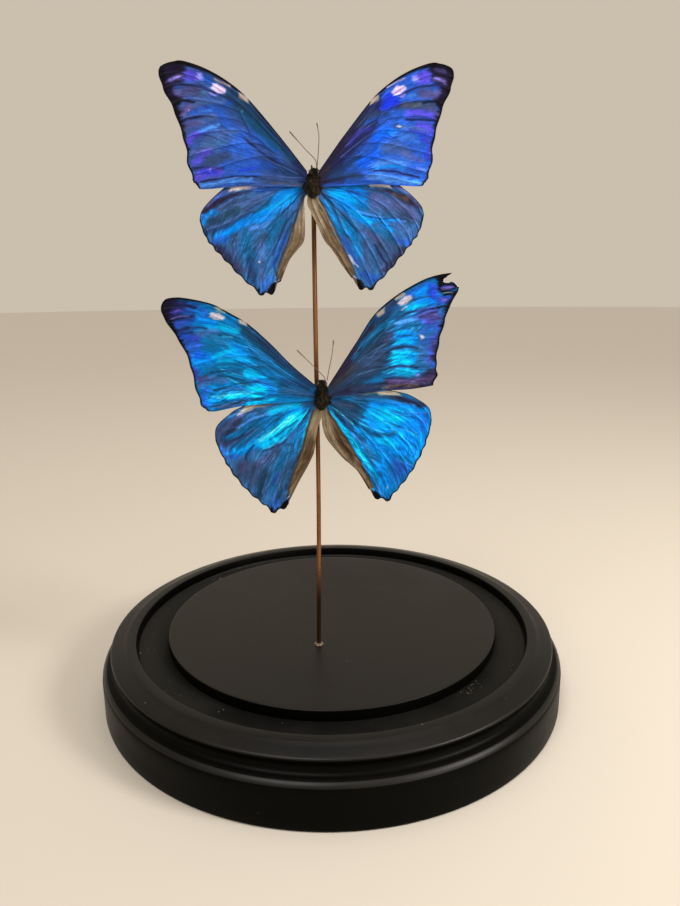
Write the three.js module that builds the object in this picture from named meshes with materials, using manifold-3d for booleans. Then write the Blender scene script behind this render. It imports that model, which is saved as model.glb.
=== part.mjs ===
// Two spread blue butterflies, one above the other, glued to a thin copper rod on a turned base.
// Millimetres, +Z up. The origin is on the underside of the base, at its centre.
// The butterflies' backs look towards -Y.

import * as THREE from 'three';
import * as BufferGeometryUtils from 'three/addons/utils/BufferGeometryUtils.js';
import Module from 'manifold-3d';

// ---- driving dimensions ----------------------------------------------------------------------

const BASE_HEIGHT = 19.6;       // underside to the top of the raised disc
const BASE_RADIUS = 74;         // the skirt, the widest part
const RIM_RADIUS = 71.1;        // outer edge of the rolled rim
const RIM_FLAT_RADIUS = 66.3;   // where the rim's top starts to fall away
const GROOVE_RADIUS = 63.3;     // top edge of the groove's outer wall
const GROOVE_DEPTH = 3.3;
const DISC_RADIUS = 53.5;
const TURNED_SIDES = 96;        // facets round the base

const GAP = 0.3;                // clearance between pieces that touch on the real object

const ROD_RADIUS = 0.65;
const ROD_Y = -18.3;            // the rod stands well forward of the disc's centre
const ROD_DEPTH = 3;            // how far it goes down into the disc
const ROD_TOP = 154.6;
const HOLE_RADIUS = ROD_RADIUS + GAP;

const BODY_Y = -22.5;           // the plane of the spread wings
const SPREAD_YAW = THREE.MathUtils.degToRad(5);   // left wing tips come forward
const WING_THICKNESS = 0.4;
const HINDWING_BACK = 0.8;      // hindwing plane behind the forewing plane

// ---- wing outlines -----------------------------------------------------------------------------
// [outwards, up] from the middle of the thorax, for a wing on the left, drawn as on the right.
// leading: root to tip. outer: tip to inner corner, scalloped between the vein ends.
// torn: the broken edge at a damaged tip. lobes: the small dark tails of a hindwing.
// inner: back to the root; on a hindwing it is the fold beside the body.

const UPPER_FOREWING = {
  leading: [[1.6, 3.3], [8.6, 11.9], [16.1, 20.3], [21.1, 24.3], [26.4, 27.1], [31.7, 28.7],
    [35.8, 28.5], [37.8, 26.4]],
  outer: [[37.8, 26.4], [36.7, 22.4], [34.9, 18.1], [33.6, 13.5], [32.5, 9.5], [32.2, 5.5],
    [31.1, 1.2], [29.8, -0.8]],
  inner: [[29.8, -0.8], [27.9, -1.2], [16.9, -0.4], [1.4, -0.6]],
  scallops: 7,
};
const UPPER_HINDWING = {
  leading: [[1.4, 0.6], [13.6, 1.2], [20.7, 0.5], [25.2, -2.4], [28.9, -6.1], [29.8, -8.8]],
  outer: [[29.8, -8.8], [28.6, -13], [26.5, -16], [23.4, -19.4], [19.5, -23.6], [14.3, -28.1]],
  lobes: [[13.3, -27.6], [12.2, -28], [11, -27.3], [10.4, -25.1], [9.1, -24.4]],
  inner: [[9.1, -24.4], [6.7, -19], [4.5, -16.3], [2.6, -13.6], [2.3, -7.4], [2.4, -3.7],
    [1.4, -1.6]],
  scallops: 7,
};
const UPPER_RIGHT_FOLD = [[9.1, -24.4], [6.9, -21.2], [4.1, -16.6], [2.3, -14.4], [0.4, -10.2],
  [-0.9, -6.3], [-1.8, -4.6], [-1.4, -1.6]];
const LOWER_FOREWING = {
  leading: [[1.6, 3.4], [8.3, 9.3], [14.1, 15.4], [19.8, 20.6], [24.3, 23.4], [29.2, 26],
    [35.4, 27.5], [40.6, 27.5], [42.6, 26]],
  outer: [[42.6, 26], [42.6, 23.8], [40, 19.3], [38, 15.3], [36.1, 10.4], [35.3, 5.7], [34.1, 1],
    [32, -2.8]],
  inner: [[32, -2.8], [29.5, -3], [20.7, -1.6], [1.4, -0.6]],
  scallops: 7,
};
const TORN_FOREWING = {
  leading: [[1.6, 3.4], [5.5, 9.3], [9.7, 15.6], [14.4, 22.6], [20.4, 27.7], [27.5, 31.7],
    [32.4, 33.2], [35.8, 33.6]],
  torn: [[35.8, 33.6], [33.7, 32.2], [34.6, 30.9], [37.2, 30.2], [37.6, 28.7]],
  outer: [[37.6, 28.7], [35.5, 24.7], [33.9, 19.3], [32.7, 14.1], [32.2, 9.2], [32.5, 5.8],
    [31.2, 2.9]],
  inner: [[31.2, 2.9], [25, 2], [15.7, 1.5], [1.4, -0.4]],
  scallops: 6,
};
const LOWER_HINDWING = {
  leading: [[1.4, 0.4], [14.6, 0], [22.4, -2], [26.6, -4.5], [29.8, -7.7], [30.2, -11.4]],
  outer: [[30.2, -11.4], [28.5, -16.4], [26.2, -20.8], [22.8, -25.6], [18.8, -29.7],
    [14.3, -33.5]],
  lobes: [[13.1, -32.4], [11.6, -32.3], [10.5, -31], [10.2, -29.4], [9.3, -28.6]],
  inner: [[9.3, -28.6], [7, -24.1], [4.4, -19.6], [1.6, -15.7], [0.8, -12.1], [0.6, -7.8],
    [0.6, -4.3], [1.2, -1.6]],
  scallops: 7,
};
const LOWER_RIGHT_FOLD = [[9.3, -28.6], [6.7, -22.5], [3.2, -18.2], [0.2, -13.3], [-0.9, -10.7],
  [-1.2, -7.7], [-0.8, -4.3], [0.4, -1.6]];
const SCALLOP_DEPTH = 0.45;

// ---- the two butterflies ------------------------------------------------------------------------
// turn is the wing's extra lift about the thorax, in degrees; scale is its size on that side.

const BUTTERFLIES = [
  {
    name: 'upper',
    place: [-3.2, BODY_Y, BASE_HEIGHT + 133.8],
    thorax: { radii: [2.3, 2.3, 3], centre: [0, 0.9, -0.45] },
    head: { radius: 1.05, centre: [0.2, 0.6, 3.9] },
    antennae: {
      left: [[0.3, 0.3, 5.1], [0, 0, 6.4], [-3, -0.3, 9.5], [-5.9, -0.4, 12.7]],
      right: [[1.3, 0.3, 5.1], [1.9, 0, 8.4], [2, -0.3, 11.7], [1.6, -0.4, 14.7]],
    },
    wings: {
      forewing_left: { outline: UPPER_FOREWING, side: -1, turn: 0, scale: 1 },
      forewing_right: { outline: UPPER_FOREWING, side: 1, turn: 1.8, scale: 0.984 },
      hindwing_left: { outline: UPPER_HINDWING, side: -1, turn: 0, scale: 1 },
      hindwing_right: {
        outline: { ...UPPER_HINDWING, inner: UPPER_RIGHT_FOLD }, side: 1, turn: 2.3, scale: 0.98,
      },
    },
  },
  {
    name: 'lower',
    place: [-1.6, BODY_Y, BASE_HEIGHT + 77.7],
    thorax: { radii: [2.7, 2.3, 3.4], centre: [0, 0.9, -0.2] },
    head: { radius: 1.15, centre: [-0.1, 0.6, 4.7] },
    antennae: {
      left: [[-0.3, 0.3, 6], [-0.6, 0, 7.4], [-2.8, -0.3, 9.7], [-6.9, -0.4, 13.5]],
      right: [[0.6, 0.3, 6], [1.8, 0, 8.4], [2.7, -0.3, 12.4], [3.2, -0.4, 16]],
    },
    wings: {
      forewing_left: { outline: LOWER_FOREWING, side: -1, turn: 0, scale: 1 },
      forewing_right: { outline: TORN_FOREWING, side: 1, turn: 0, scale: 1 },
      hindwing_left: { outline: LOWER_HINDWING, side: -1, turn: 0, scale: 1 },
      hindwing_right: {
        outline: { ...LOWER_HINDWING, inner: LOWER_RIGHT_FOLD }, side: 1, turn: 7.7, scale: 0.995,
      },
    },
  },
];
const ANTENNA_RADIUS = 0.18;

// ---- finishes ---------------------------------------------------------------------------------

const finish = (color, roughness, metalness = 0) =>
  new THREE.MeshStandardMaterial({ color, roughness, metalness });
const BLACK_PAINT = finish(0x0d0d0e, 0.45);
const SATIN_BLACK = finish(0x131314, 0.5);
const COPPER = finish(0xa8643a, 0.3, 1);
const CLEAR_GLUE = finish(0xb8b2a4, 0.25);
const BROWN_FUR = finish(0x241a14, 0.9);
const HORN = finish(0x3a2a1e, 0.6);
const BLUE_SCALES = { upper: finish(0x2440c0, 0.35), lower: finish(0x1470c8, 0.35) };

// ---- helpers ------------------------------------------------------------------------------------

const wasm = await Module();
wasm.setup();

function toSolid(geometry) {
  const bare = geometry.clone();
  bare.deleteAttribute('normal');
  bare.deleteAttribute('uv');
  const merged = BufferGeometryUtils.mergeVertices(bare, 1e-5);
  return new wasm.Manifold(new wasm.Mesh({
    numProp: 3,
    vertProperties: new Float32Array(merged.attributes.position.array),
    triVerts: new Uint32Array(merged.index.array),
  }));
}

function fromSolid(solid) {
  const mesh = solid.getMesh();
  const geometry = new THREE.BufferGeometry();
  geometry.setAttribute('position', new THREE.BufferAttribute(mesh.vertProperties, 3));
  geometry.setIndex(new THREE.BufferAttribute(mesh.triVerts, 1));
  geometry.computeVertexNormals();
  return geometry;
}

const subtract = (geometry, cutter) => fromSolid(toSolid(geometry).subtract(toSolid(cutter)));

// A profile of [radius, height] turned about Z.
function turned(profile, sides = TURNED_SIDES) {
  const points = profile.map(([radius, height]) => new THREE.Vector2(radius, height));
  return new THREE.LatheGeometry(points, sides).rotateX(Math.PI / 2);
}

function cylinder(radius, bottom, top, sides) {
  const geometry = new THREE.CylinderGeometry(radius, radius, top - bottom, sides);
  return geometry.rotateX(Math.PI / 2).translate(0, 0, (top + bottom) / 2);
}

function ellipsoid(radii, centre, grow = 0, across = 20, up = 12) {
  const geometry = new THREE.SphereGeometry(1, across, up);
  geometry.rotateX(Math.PI / 2);
  geometry.scale(radii[0] + grow, radii[1] + grow, radii[2] + grow);
  return geometry.translate(...centre);
}

// A round thread along points, sides facets round.
function thread(points, radius, sides, steps) {
  const path = new THREE.CatmullRomCurve3(points.map((p) => new THREE.Vector3(...p)));
  const section = new THREE.Shape();
  section.absarc(0, 0, radius, 0, Math.PI * 2);
  return new THREE.ExtrudeGeometry(section, { steps, extrudePath: path, curveSegments: sides });
}

// ---- base ---------------------------------------------------------------------------------------

const GROOVE_FLOOR = BASE_HEIGHT - GROOVE_DEPTH;

function turnedBase() {
  const rimTop = BASE_HEIGHT;
  return turned([
    [0, 0],
    [BASE_RADIUS - 0.7, 0],
    [BASE_RADIUS, 0.8],                        // eased bottom edge
    [BASE_RADIUS, 11],                         // upright skirt
    [BASE_RADIUS - 0.5, 12.4],                 // rounded shoulder
    [BASE_RADIUS - 1.4, 13.3],
    [RIM_RADIUS + 0.2, 13.7],
    [RIM_RADIUS - 0.6, 14.5],                  // cove under the rim
    [RIM_RADIUS - 0.8, 15.5],
    [RIM_RADIUS - 0.5, 16.6],
    [RIM_RADIUS, rimTop - 1.8],                // rolled edge
    [RIM_RADIUS - 0.3, rimTop - 1.4],
    [RIM_FLAT_RADIUS, rimTop - 0.05],          // sloping top
    [GROOVE_RADIUS + 0.5, rimTop],
    [GROOVE_RADIUS, rimTop - 0.3],
    [GROOVE_RADIUS - 0.6, GROOVE_FLOOR + 0.3],
    [GROOVE_RADIUS - 1, GROOVE_FLOOR],
    [0, GROOVE_FLOOR],
  ]);
}

const ROD_FOOT_X = -3.9;

function centreDisc() {
  const disc = turned([
    [0, GROOVE_FLOOR],
    [DISC_RADIUS - 0.2, GROOVE_FLOOR],
    [DISC_RADIUS, GROOVE_FLOOR + 0.2],
    [DISC_RADIUS, BASE_HEIGHT - 0.3],
    [DISC_RADIUS - 0.3, BASE_HEIGHT],
    [0, BASE_HEIGHT],
  ]);
  const hole = cylinder(HOLE_RADIUS, GROOVE_FLOOR - 1, BASE_HEIGHT + 1, 16);
  hole.translate(ROD_FOOT_X, ROD_Y, 0);
  return subtract(disc, hole);
}

// The rod is very slightly bowed: it leaves the disc at ROD_FOOT_X and passes behind both bodies.
function copperRod() {
  const bow = [[ROD_FOOT_X, -ROD_DEPTH], [ROD_FOOT_X, 2], [-3.45, 30], [-3.25, 60], [-3.4, 100]];
  const points = bow.map(([x, z]) => [x, ROD_Y, BASE_HEIGHT + z]);
  points.push([-3.35, ROD_Y, ROD_TOP]);
  return thread(points, ROD_RADIUS, 6, 24);
}

function footBead() {
  return turned([
    [HOLE_RADIUS, BASE_HEIGHT + 0.05],
    [HOLE_RADIUS + 0.75, BASE_HEIGHT + 0.05],
    [HOLE_RADIUS + 0.5, BASE_HEIGHT + 0.4],
    [HOLE_RADIUS, BASE_HEIGHT + 0.7],
    [HOLE_RADIUS, BASE_HEIGHT + 0.05],
  ], 20).translate(ROD_FOOT_X, ROD_Y, 0);
}

// ---- wings ----------------------------------------------------------------------------------------

function along(points, count) {
  const curve = new THREE.SplineCurve(points.map(([x, z]) => new THREE.Vector2(x, z)));
  return curve.getPoints(count);
}

// Pulls the outer margin in between the vein ends.
function scalloped(points, scallops, inwards) {
  const last = points.length - 1;
  return points.map((point, i) => {
    const dip = SCALLOP_DEPTH * Math.abs(Math.sin(Math.PI * scallops * i / last));
    const pull = inwards.clone().sub(point).normalize().multiplyScalar(dip);
    return point.clone().add(pull);
  });
}

const corners = (points) => points.map(([x, z]) => new THREE.Vector2(x, z));

function wingOutline({ leading, torn = [], outer, lobes = [], inner, scallops }) {
  const root = new THREE.Vector2(...leading[0]);
  return [
    ...along(leading, 12).slice(0, -1),
    ...corners(torn.slice(0, -1)),
    ...scalloped(along(outer, scallops * 3), scallops, root),
    ...corners(lobes.slice(0, -1)),
    ...along(inner, 10).slice(lobes.length ? 0 : 1),
  ];
}

function wing({ outline, side, turn, scale }, depth, thorax) {
  const angle = THREE.MathUtils.degToRad(turn);
  const points = wingOutline(outline).map((point) => {
    const placed = point.clone().rotateAround(new THREE.Vector2(), angle);
    return new THREE.Vector2(side * scale * placed.x, scale * placed.y);
  });
  const plate = new THREE.ExtrudeGeometry(new THREE.Shape(points), {
    depth: WING_THICKNESS,
    bevelEnabled: false,
    steps: 1,
  });
  plate.rotateX(Math.PI / 2).translate(0, depth + WING_THICKNESS / 2, 0);
  return subtract(plate, ellipsoid(thorax.radii, thorax.centre, GAP));
}

// ---- body -----------------------------------------------------------------------------------------

// Glue behind the thorax, wrapped round the back of the rod, in the butterfly's own frame.
function glueDrop(thorax, rod) {
  const [x, y] = rod;
  const drop = ellipsoid([2.1, 1.9, 2.8], [x, y + 0.2, thorax.centre[2]], 0, 16, 10);
  const rodRoom = cylinder(HOLE_RADIUS, -20, 20, 16).translate(x, y, 0);
  const bodyRoom = ellipsoid(thorax.radii, thorax.centre, GAP);
  const front = new THREE.BoxGeometry(20, 20, 40).translate(x, y - 10.5, 0);
  const kept = toSolid(drop).subtract(toSolid(rodRoom)).subtract(toSolid(bodyRoom));
  return fromSolid(kept.subtract(toSolid(front)));
}

// ---- assembly -------------------------------------------------------------------------------------

function piece(name, geometry, material) {
  const mesh = new THREE.Mesh(geometry, material);
  mesh.name = name;
  return mesh;
}

function butterfly({ name, place, thorax, head, antennae, wings }) {
  const group = new THREE.Group();
  group.position.set(...place);
  group.rotation.z = SPREAD_YAW;
  group.updateMatrixWorld();
  group.add(piece(`${name}_thorax`, ellipsoid(thorax.radii, thorax.centre), BROWN_FUR));
  const headRadii = [head.radius * 1.15, head.radius, head.radius * 0.85];
  group.add(piece(`${name}_head`, ellipsoid(headRadii, head.centre, 0, 16, 10), BROWN_FUR));
  for (const side of ['left', 'right']) {
    const feeler = thread(antennae[side], ANTENNA_RADIUS, 3, 10);
    group.add(piece(`${name}_antenna_${side}`, feeler, HORN));
  }
  for (const [wingName, spec] of Object.entries(wings)) {
    const depth = wingName.startsWith('hindwing') ? HINDWING_BACK : 0;
    group.add(piece(`${name}_${wingName}`, wing(spec, depth, thorax), BLUE_SCALES[name]));
  }
  const rod = group.worldToLocal(new THREE.Vector3(-3.35, ROD_Y, place[2]));
  group.add(piece(`${name}_glue`, glueDrop(thorax, [rod.x, rod.y]), CLEAR_GLUE));
  return group;
}

const display = new THREE.Group();
display.add(piece('turned_base', turnedBase(), BLACK_PAINT));
display.add(piece('centre_disc', centreDisc(), SATIN_BLACK));
display.add(piece('copper_rod', copperRod(), COPPER));
display.add(piece('foot_bead', footBead(), CLEAR_GLUE));
for (const specimen of BUTTERFLIES) display.add(butterfly(specimen));

export default display;
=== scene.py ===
# %% [markdown]
# # Two mounted blue butterflies on a turned display base
# Two dried, spread butterflies hang one above the other on a thin copper rod that stands in a
# black turned base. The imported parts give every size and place; this script models the fine
# surface of each part over them and gives it its finish. All lengths below are millimetres and
# become metres where a mesh is made. Blender could import ready meshes instead, but modelling
# over the frame keeps each looks piece exactly where the working part is.

import math

import bpy
import numpy as np
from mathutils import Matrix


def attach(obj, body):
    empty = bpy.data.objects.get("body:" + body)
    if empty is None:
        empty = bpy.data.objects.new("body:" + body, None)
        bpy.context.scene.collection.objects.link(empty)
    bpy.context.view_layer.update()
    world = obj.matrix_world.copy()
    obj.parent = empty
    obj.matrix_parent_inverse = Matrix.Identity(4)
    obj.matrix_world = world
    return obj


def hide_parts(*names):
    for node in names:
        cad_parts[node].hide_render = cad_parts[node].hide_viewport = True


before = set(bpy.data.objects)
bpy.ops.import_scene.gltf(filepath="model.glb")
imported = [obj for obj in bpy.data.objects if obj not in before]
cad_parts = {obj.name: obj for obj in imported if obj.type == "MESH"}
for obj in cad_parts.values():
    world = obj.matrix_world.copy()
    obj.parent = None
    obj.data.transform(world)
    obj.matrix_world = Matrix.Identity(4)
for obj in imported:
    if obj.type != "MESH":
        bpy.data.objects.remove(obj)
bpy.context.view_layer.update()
MM = 0.001


def metres(*values):
    return tuple(value * MM for value in values)


# %% [markdown]
# ## Camera
# The view looks slightly down on the base from its front, with the rod almost upright in the
# frame. The camera could be aimed with a constraint, but a fixed place and turn are easier to
# read and never change. The lens value belongs to Blender's 36 mm sensor on the frame's long side.

# %% Camera at the viewing angle
CAMERA_PLACE = (3.13, -215.95, 127.87)
CAMERA_PITCH_DOWN = 13.47
CAMERA_ROLL = 0.489
CAMERA_LENS = 27.815

bpy.ops.object.camera_add(
    location=metres(*CAMERA_PLACE),
    rotation=(math.radians(90 - CAMERA_PITCH_DOWN), 0, 0),
)
camera = bpy.context.object
camera.name = "view_camera"
camera.rotation_euler.rotate_axis("Z", -math.radians(CAMERA_ROLL))
camera.data.lens = CAMERA_LENS
camera.data.clip_start = 0.01
bpy.context.scene.camera = camera
print("camera at", CAMERA_PLACE, "lens", CAMERA_LENS)

# %% [markdown]
# ## Small helpers
# Every piece starts the same way: nothing is selected, a primitive is added, and at the end its
# place is baked into its mesh, its normals point outwards and it is tied to the frame. These
# steps are gathered in helpers so that each piece's own cell only shows its shape.

# %% Helpers for modelling
HOLE_LENGTH = 8


def clear_selection():
    bpy.ops.object.select_all(action="DESELECT")


def only(piece):
    clear_selection()
    piece.select_set(True)
    bpy.context.view_layer.objects.active = piece


def edit_all():
    bpy.ops.object.mode_set(mode="EDIT")
    bpy.ops.mesh.select_all(action="SELECT")


def apply_modifier(piece, kind, **settings):
    only(piece)
    modifier = piece.modifiers.new(kind.title(), kind)
    for key, value in settings.items():
        setattr(modifier, key, value)
    bpy.ops.object.modifier_apply(modifier=modifier.name)


def point_outwards(piece):
    only(piece)
    edit_all()
    bpy.ops.mesh.normals_make_consistent(inside=False)
    bpy.ops.object.mode_set(mode="OBJECT")


def cut_away(piece, cutter):
    apply_modifier(piece, "BOOLEAN", object=cutter, operation="DIFFERENCE", solver="EXACT")
    bpy.data.objects.remove(cutter)


def drill(piece, radius, *place):
    """Drills an upright hole right through a piece."""
    clear_selection()
    bpy.ops.mesh.primitive_cylinder_add(
        vertices=32, radius=radius * MM, depth=HOLE_LENGTH * MM, location=metres(*place)
    )
    cut_away(piece, bpy.context.object)


def settle(piece, node, smooth_angle=40):
    """Bakes the piece's place into its mesh, ties it to the frame and hides the CAD node it stands for.
    """
    only(piece)
    bpy.ops.object.transform_apply(location=True, rotation=True, scale=True)
    bpy.ops.object.shade_smooth_by_angle(angle=math.radians(smooth_angle))
    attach(piece, "root")
    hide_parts(node)
    faces = sum(len(face.vertices) - 2 for face in piece.data.polygons)
    print(piece.name, "stands for", node, "with", faces, "triangles")


def smooth_run(points, count):
    """A smooth curve through given points, as count + 1 points."""
    points = np.array(points, float)
    last = len(points) - 1
    place = np.linspace(0, last, count + 1)
    index = np.minimum(place.astype(int), last - 1)
    t = (place - index)[:, None]
    before = points[np.maximum(index - 1, 0)]
    start, end = points[index], points[index + 1]
    after = points[np.minimum(index + 2, last)]
    pull_in, pull_out = (end - before) / 2, (after - start) / 2
    cubic = 2 * start - 2 * end + pull_in + pull_out
    square = -3 * start + 3 * end - 2 * pull_in - pull_out
    return ((cubic * t + square) * t + pull_in) * t + start


def lattice_noise(x, y, seed):
    """Smooth noise from 0 to 1, one random value at each whole x, y."""
    x, y = np.asarray(x, float), np.asarray(y, float)
    x0, y0 = np.floor(x).astype(int), np.floor(y).astype(int)
    values = np.random.default_rng(seed).random((x0.max() - x0.min() + 2, y0.max() - y0.min() + 2))
    fx, fy = x - x0, y - y0
    fx, fy = fx * fx * (3 - 2 * fx), fy * fy * (3 - 2 * fy)
    x0, y0 = x0 - x0.min(), y0 - y0.min()
    low = values[x0, y0] * (1 - fx) + values[x0 + 1, y0] * fx
    high = values[x0, y0 + 1] * (1 - fx) + values[x0 + 1, y0 + 1] * fx
    return low * (1 - fy) + high * fy


def smooth_step(low, high, value):
    t = np.clip((value - low) / (high - low), 0, 1)
    return t * t * (3 - 2 * t)


print("helpers ready")

# %% [markdown]
# ## Shared finish effects
# Paint, wood, wings and rod all need some small, uneven change of colour and height. It could be
# built again in each material, but one node group per effect, with named inputs, keeps them
# alike and easy to tune. A group gives out only colours and heights; the shader stays in the
# material.

# %% Node helpers
def to_linear(values):
    """Screen colour values, from 0 to 1, as the linear values that Blender wants."""
    values = np.clip(values, 0, 1)
    return np.where(values <= 0.04045, values / 12.92, ((values + 0.055) / 1.055) ** 2.4)


def hex_values(code):
    return np.array([int(code[i : i + 2], 16) / 255 for i in (0, 2, 4)])


def rgb(code):
    return to_linear(hex_values(code)).tolist()


def rgba(code):
    return (*rgb(code), 1)


def feed(tree, node, **inputs):
    """Links an input that is given as (node, socket); any other value is set on the socket."""
    for key, value in inputs.items():
        socket = node.inputs[int(key[1:]) if key[0] == "_" else key.replace("_", " ")]
        if isinstance(value, tuple) and isinstance(value[0], bpy.types.Node):
            tree.links.new(value[0].outputs[value[1]], socket)
        else:
            socket.default_value = value
    return node


def add(tree, kind, settings=None, **inputs):
    made = tree.nodes.new(f"ShaderNode{kind}")
    for key, value in (settings or {}).items():
        setattr(made, key, value)
    return feed(tree, made, **inputs)


def math_node(tree, operation, first, second=0.0):
    return add(tree, "Math", {"operation": operation}, _0=first, _1=second), "Value"


def ramp(tree, value, low, high, to_low=0.0, to_high=1.0):
    made = add(
        tree, "MapRange", {"interpolation_type": "SMOOTHSTEP"}, Value=value,
        From_Min=low, From_Max=high, To_Min=to_low, To_Max=to_high,
    )
    return made, "Result"


def mix(tree, factor, first, second, blend="MIX"):
    made = add(tree, "Mix", {"data_type": "RGBA", "blend_type": blend}, _0=factor, _6=first, _7=second)
    return made, 2


def new_group(name, inputs, outputs):
    group = bpy.data.node_groups.new(name, "ShaderNodeTree")
    for label, kind, value in inputs:
        socket = group.interface.new_socket(label, in_out="INPUT", socket_type=f"NodeSocket{kind}")
        socket.default_value = value
    for label, kind in outputs:
        group.interface.new_socket(label, in_out="OUTPUT", socket_type=f"NodeSocket{kind}")
    return group, group.nodes.new("NodeGroupInput"), group.nodes.new("NodeGroupOutput")


def use_group(tree, group, **inputs):
    made = tree.nodes.new("ShaderNodeGroup")
    made.node_tree = group
    return feed(tree, made, **inputs)


def bumped(tree, height, strength, distance):
    return add(tree, "Bump", Height=height, Strength=strength, Distance=distance), "Normal"


def new_material(name):
    material = bpy.data.materials.new(name)
    material.use_nodes = True
    tree = material.node_tree
    shader = tree.nodes["Principled BSDF"]
    return material, tree, shader


# %% Paint effect: dust, smudges and fine grain
paint_group, inside, outside = new_group(
    "worn_paint",
    [("Colour", "Color", (0, 0, 0, 1)), ("Dust Colour", "Color", (0.3, 0.28, 0.25, 1)),
     ("Dust", "Float", 0.5), ("Smudge", "Float", 0.1), ("Roughness", "Float", 0.4)],
    [("Colour", "Color"), ("Roughness", "Float"), ("Height", "Float")],
)
tree = paint_group
place = add(tree, "TexCoord")
smudge = add(tree, "TexNoise", Vector=(place, "Object"), Scale=38.0, Detail=5.0, Roughness=0.6)
specks = add(tree, "TexVoronoi", Vector=(place, "Object"), Scale=420.0, Randomness=1.0)
patches = add(tree, "TexNoise", Vector=(place, "Object"), Scale=70.0, Detail=3.0)
grain = add(tree, "TexNoise", Vector=(place, "Object"), Scale=2600.0, Detail=2.0)
dot = ramp(tree, (specks, "Distance"), 0.13, 0.07)
chosen = ramp(tree, (specks, "Color"), 0.76, 0.86)
crowd = ramp(tree, (patches, "Fac"), 0.46, 0.6)
speck_mask = math_node(tree, "MULTIPLY", math_node(tree, "MULTIPLY", dot, chosen), crowd)
speck_mask = math_node(tree, "MULTIPLY", speck_mask, (inside, "Dust"))
haze = math_node(tree, "MULTIPLY", ramp(tree, (smudge, "Fac"), 0.35, 0.75), (inside, "Smudge"))
dusted = mix(tree, haze, (inside, "Colour"), (inside, "Dust Colour"))
uneven = ramp(tree, (smudge, "Fac"), 0.3, 0.7, -0.05, 0.07)
relief = math_node(tree, "MULTIPLY", (grain, "Fac"), 0.35)
feed(
    tree, outside,
    Colour=mix(tree, speck_mask, dusted, (inside, "Dust Colour")),
    Roughness=math_node(tree, "ADD", (inside, "Roughness"), uneven),
    Height=math_node(tree, "ADD", relief, speck_mask),
)
print("paint effect has", len(tree.nodes), "nodes")

# %% [markdown]
# ## Turned base
# The base is one turned piece: a foot with a rounded shoulder, a cove, a rolled rim and a groove
# for the rim of a glass dome. On a lathe it is cut from one blank, and a mesh can follow the same
# idea: start from a filled circle and extrude it upwards and inwards, ring by ring, along the
# profile. A spun profile would do as well, but it leaves a seam that has to be merged.

# %% Lathe helper
LATHE_SIDES = 256


def turn_on_lathe(name, profile, sides=LATHE_SIDES, centre=(0, 0), ring=False):
    """A closed turned solid from a profile of (radius, height). The profile of a ring comes back
    to its first point; any other profile ends on a flat top."""
    clear_selection()
    radius, height = profile[0]
    bpy.ops.mesh.primitive_circle_add(
        vertices=sides, radius=radius * MM, fill_type="NOTHING" if ring else "NGON",
        location=metres(*centre, height),
    )
    piece = bpy.context.object
    piece.name = name
    edit_all()
    for next_radius, next_height in profile[1:]:
        rise = metres(0, 0, next_height - height)
        bpy.ops.mesh.extrude_region_move(TRANSFORM_OT_translate={"value": rise})
        grow = next_radius / radius
        middle = metres(*centre, next_height)
        bpy.ops.transform.resize(value=(grow, grow, 1), center_override=middle)
        radius, height = next_radius, next_height
    if ring:
        bpy.ops.mesh.select_all(action="SELECT")
        bpy.ops.mesh.remove_doubles(threshold=1e-6)
    bpy.ops.object.mode_set(mode="OBJECT")
    point_outwards(piece)
    return piece


# %% Base profile and piece
BASE_HEIGHT = 19.6
GROOVE_FLOOR = 16.3

base_profile = [(72.9, 0)]
base_profile += list(smooth_run([(73.4, 0.05), (73.85, 0.35), (74, 0.9)], 6))
base_profile += [(74, 4), (74, 8)]
shoulder = [(74, 10.6), (73.85, 11.6), (73.3, 12.6), (72.5, 13.25), (71.5, 13.6)]
base_profile += list(smooth_run(shoulder, 14))
cove = [(71.2, 13.72), (70.65, 14.2), (70.3, 15.1), (70.35, 16.1), (70.75, 16.9)]
base_profile += list(smooth_run(cove, 12))
rim_roll = [(70.8, 17.0), (71.08, 17.35), (71.1, 17.8), (70.85, 18.2), (70.3, 18.45)]
base_profile += list(smooth_run(rim_roll, 8))
base_profile += [(68, 19.05), (66.6, 19.36), (66.4, 19.53), (66, BASE_HEIGHT)]
base_profile += list(smooth_run([(63.8, BASE_HEIGHT), (63.45, 19.5), (63.3, 19.2)], 4))
base_profile += list(smooth_run([(62.95, 17.4), (62.8, 16.8), (62.3, GROOVE_FLOOR)], 4))
turned_base = turn_on_lathe("base_turned_wood", base_profile)
settle(turned_base, "turned_base", 50)

# %% Raised disc with its drilled hole
ROD_FOOT = (-3.9, -18.3)
ROD_HOLE = 0.9
HOLE_MIDDLE = 18
disc_profile = [(53.3, GROOVE_FLOOR)]
disc_profile += list(smooth_run([(53.4, 16.35), (53.5, 16.6)], 2))
disc_edge = [(53.5, 18.9), (53.45, 19.35), (53.25, 19.55), (52.9, BASE_HEIGHT)]
disc_profile += list(smooth_run(disc_edge, 6)) + [(52, BASE_HEIGHT)]
centre_disc = turn_on_lathe("centre_disc_wood", disc_profile)
drill(centre_disc, ROD_HOLE, *ROD_FOOT, HOLE_MIDDLE)
settle(centre_disc, "centre_disc", 30)
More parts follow.
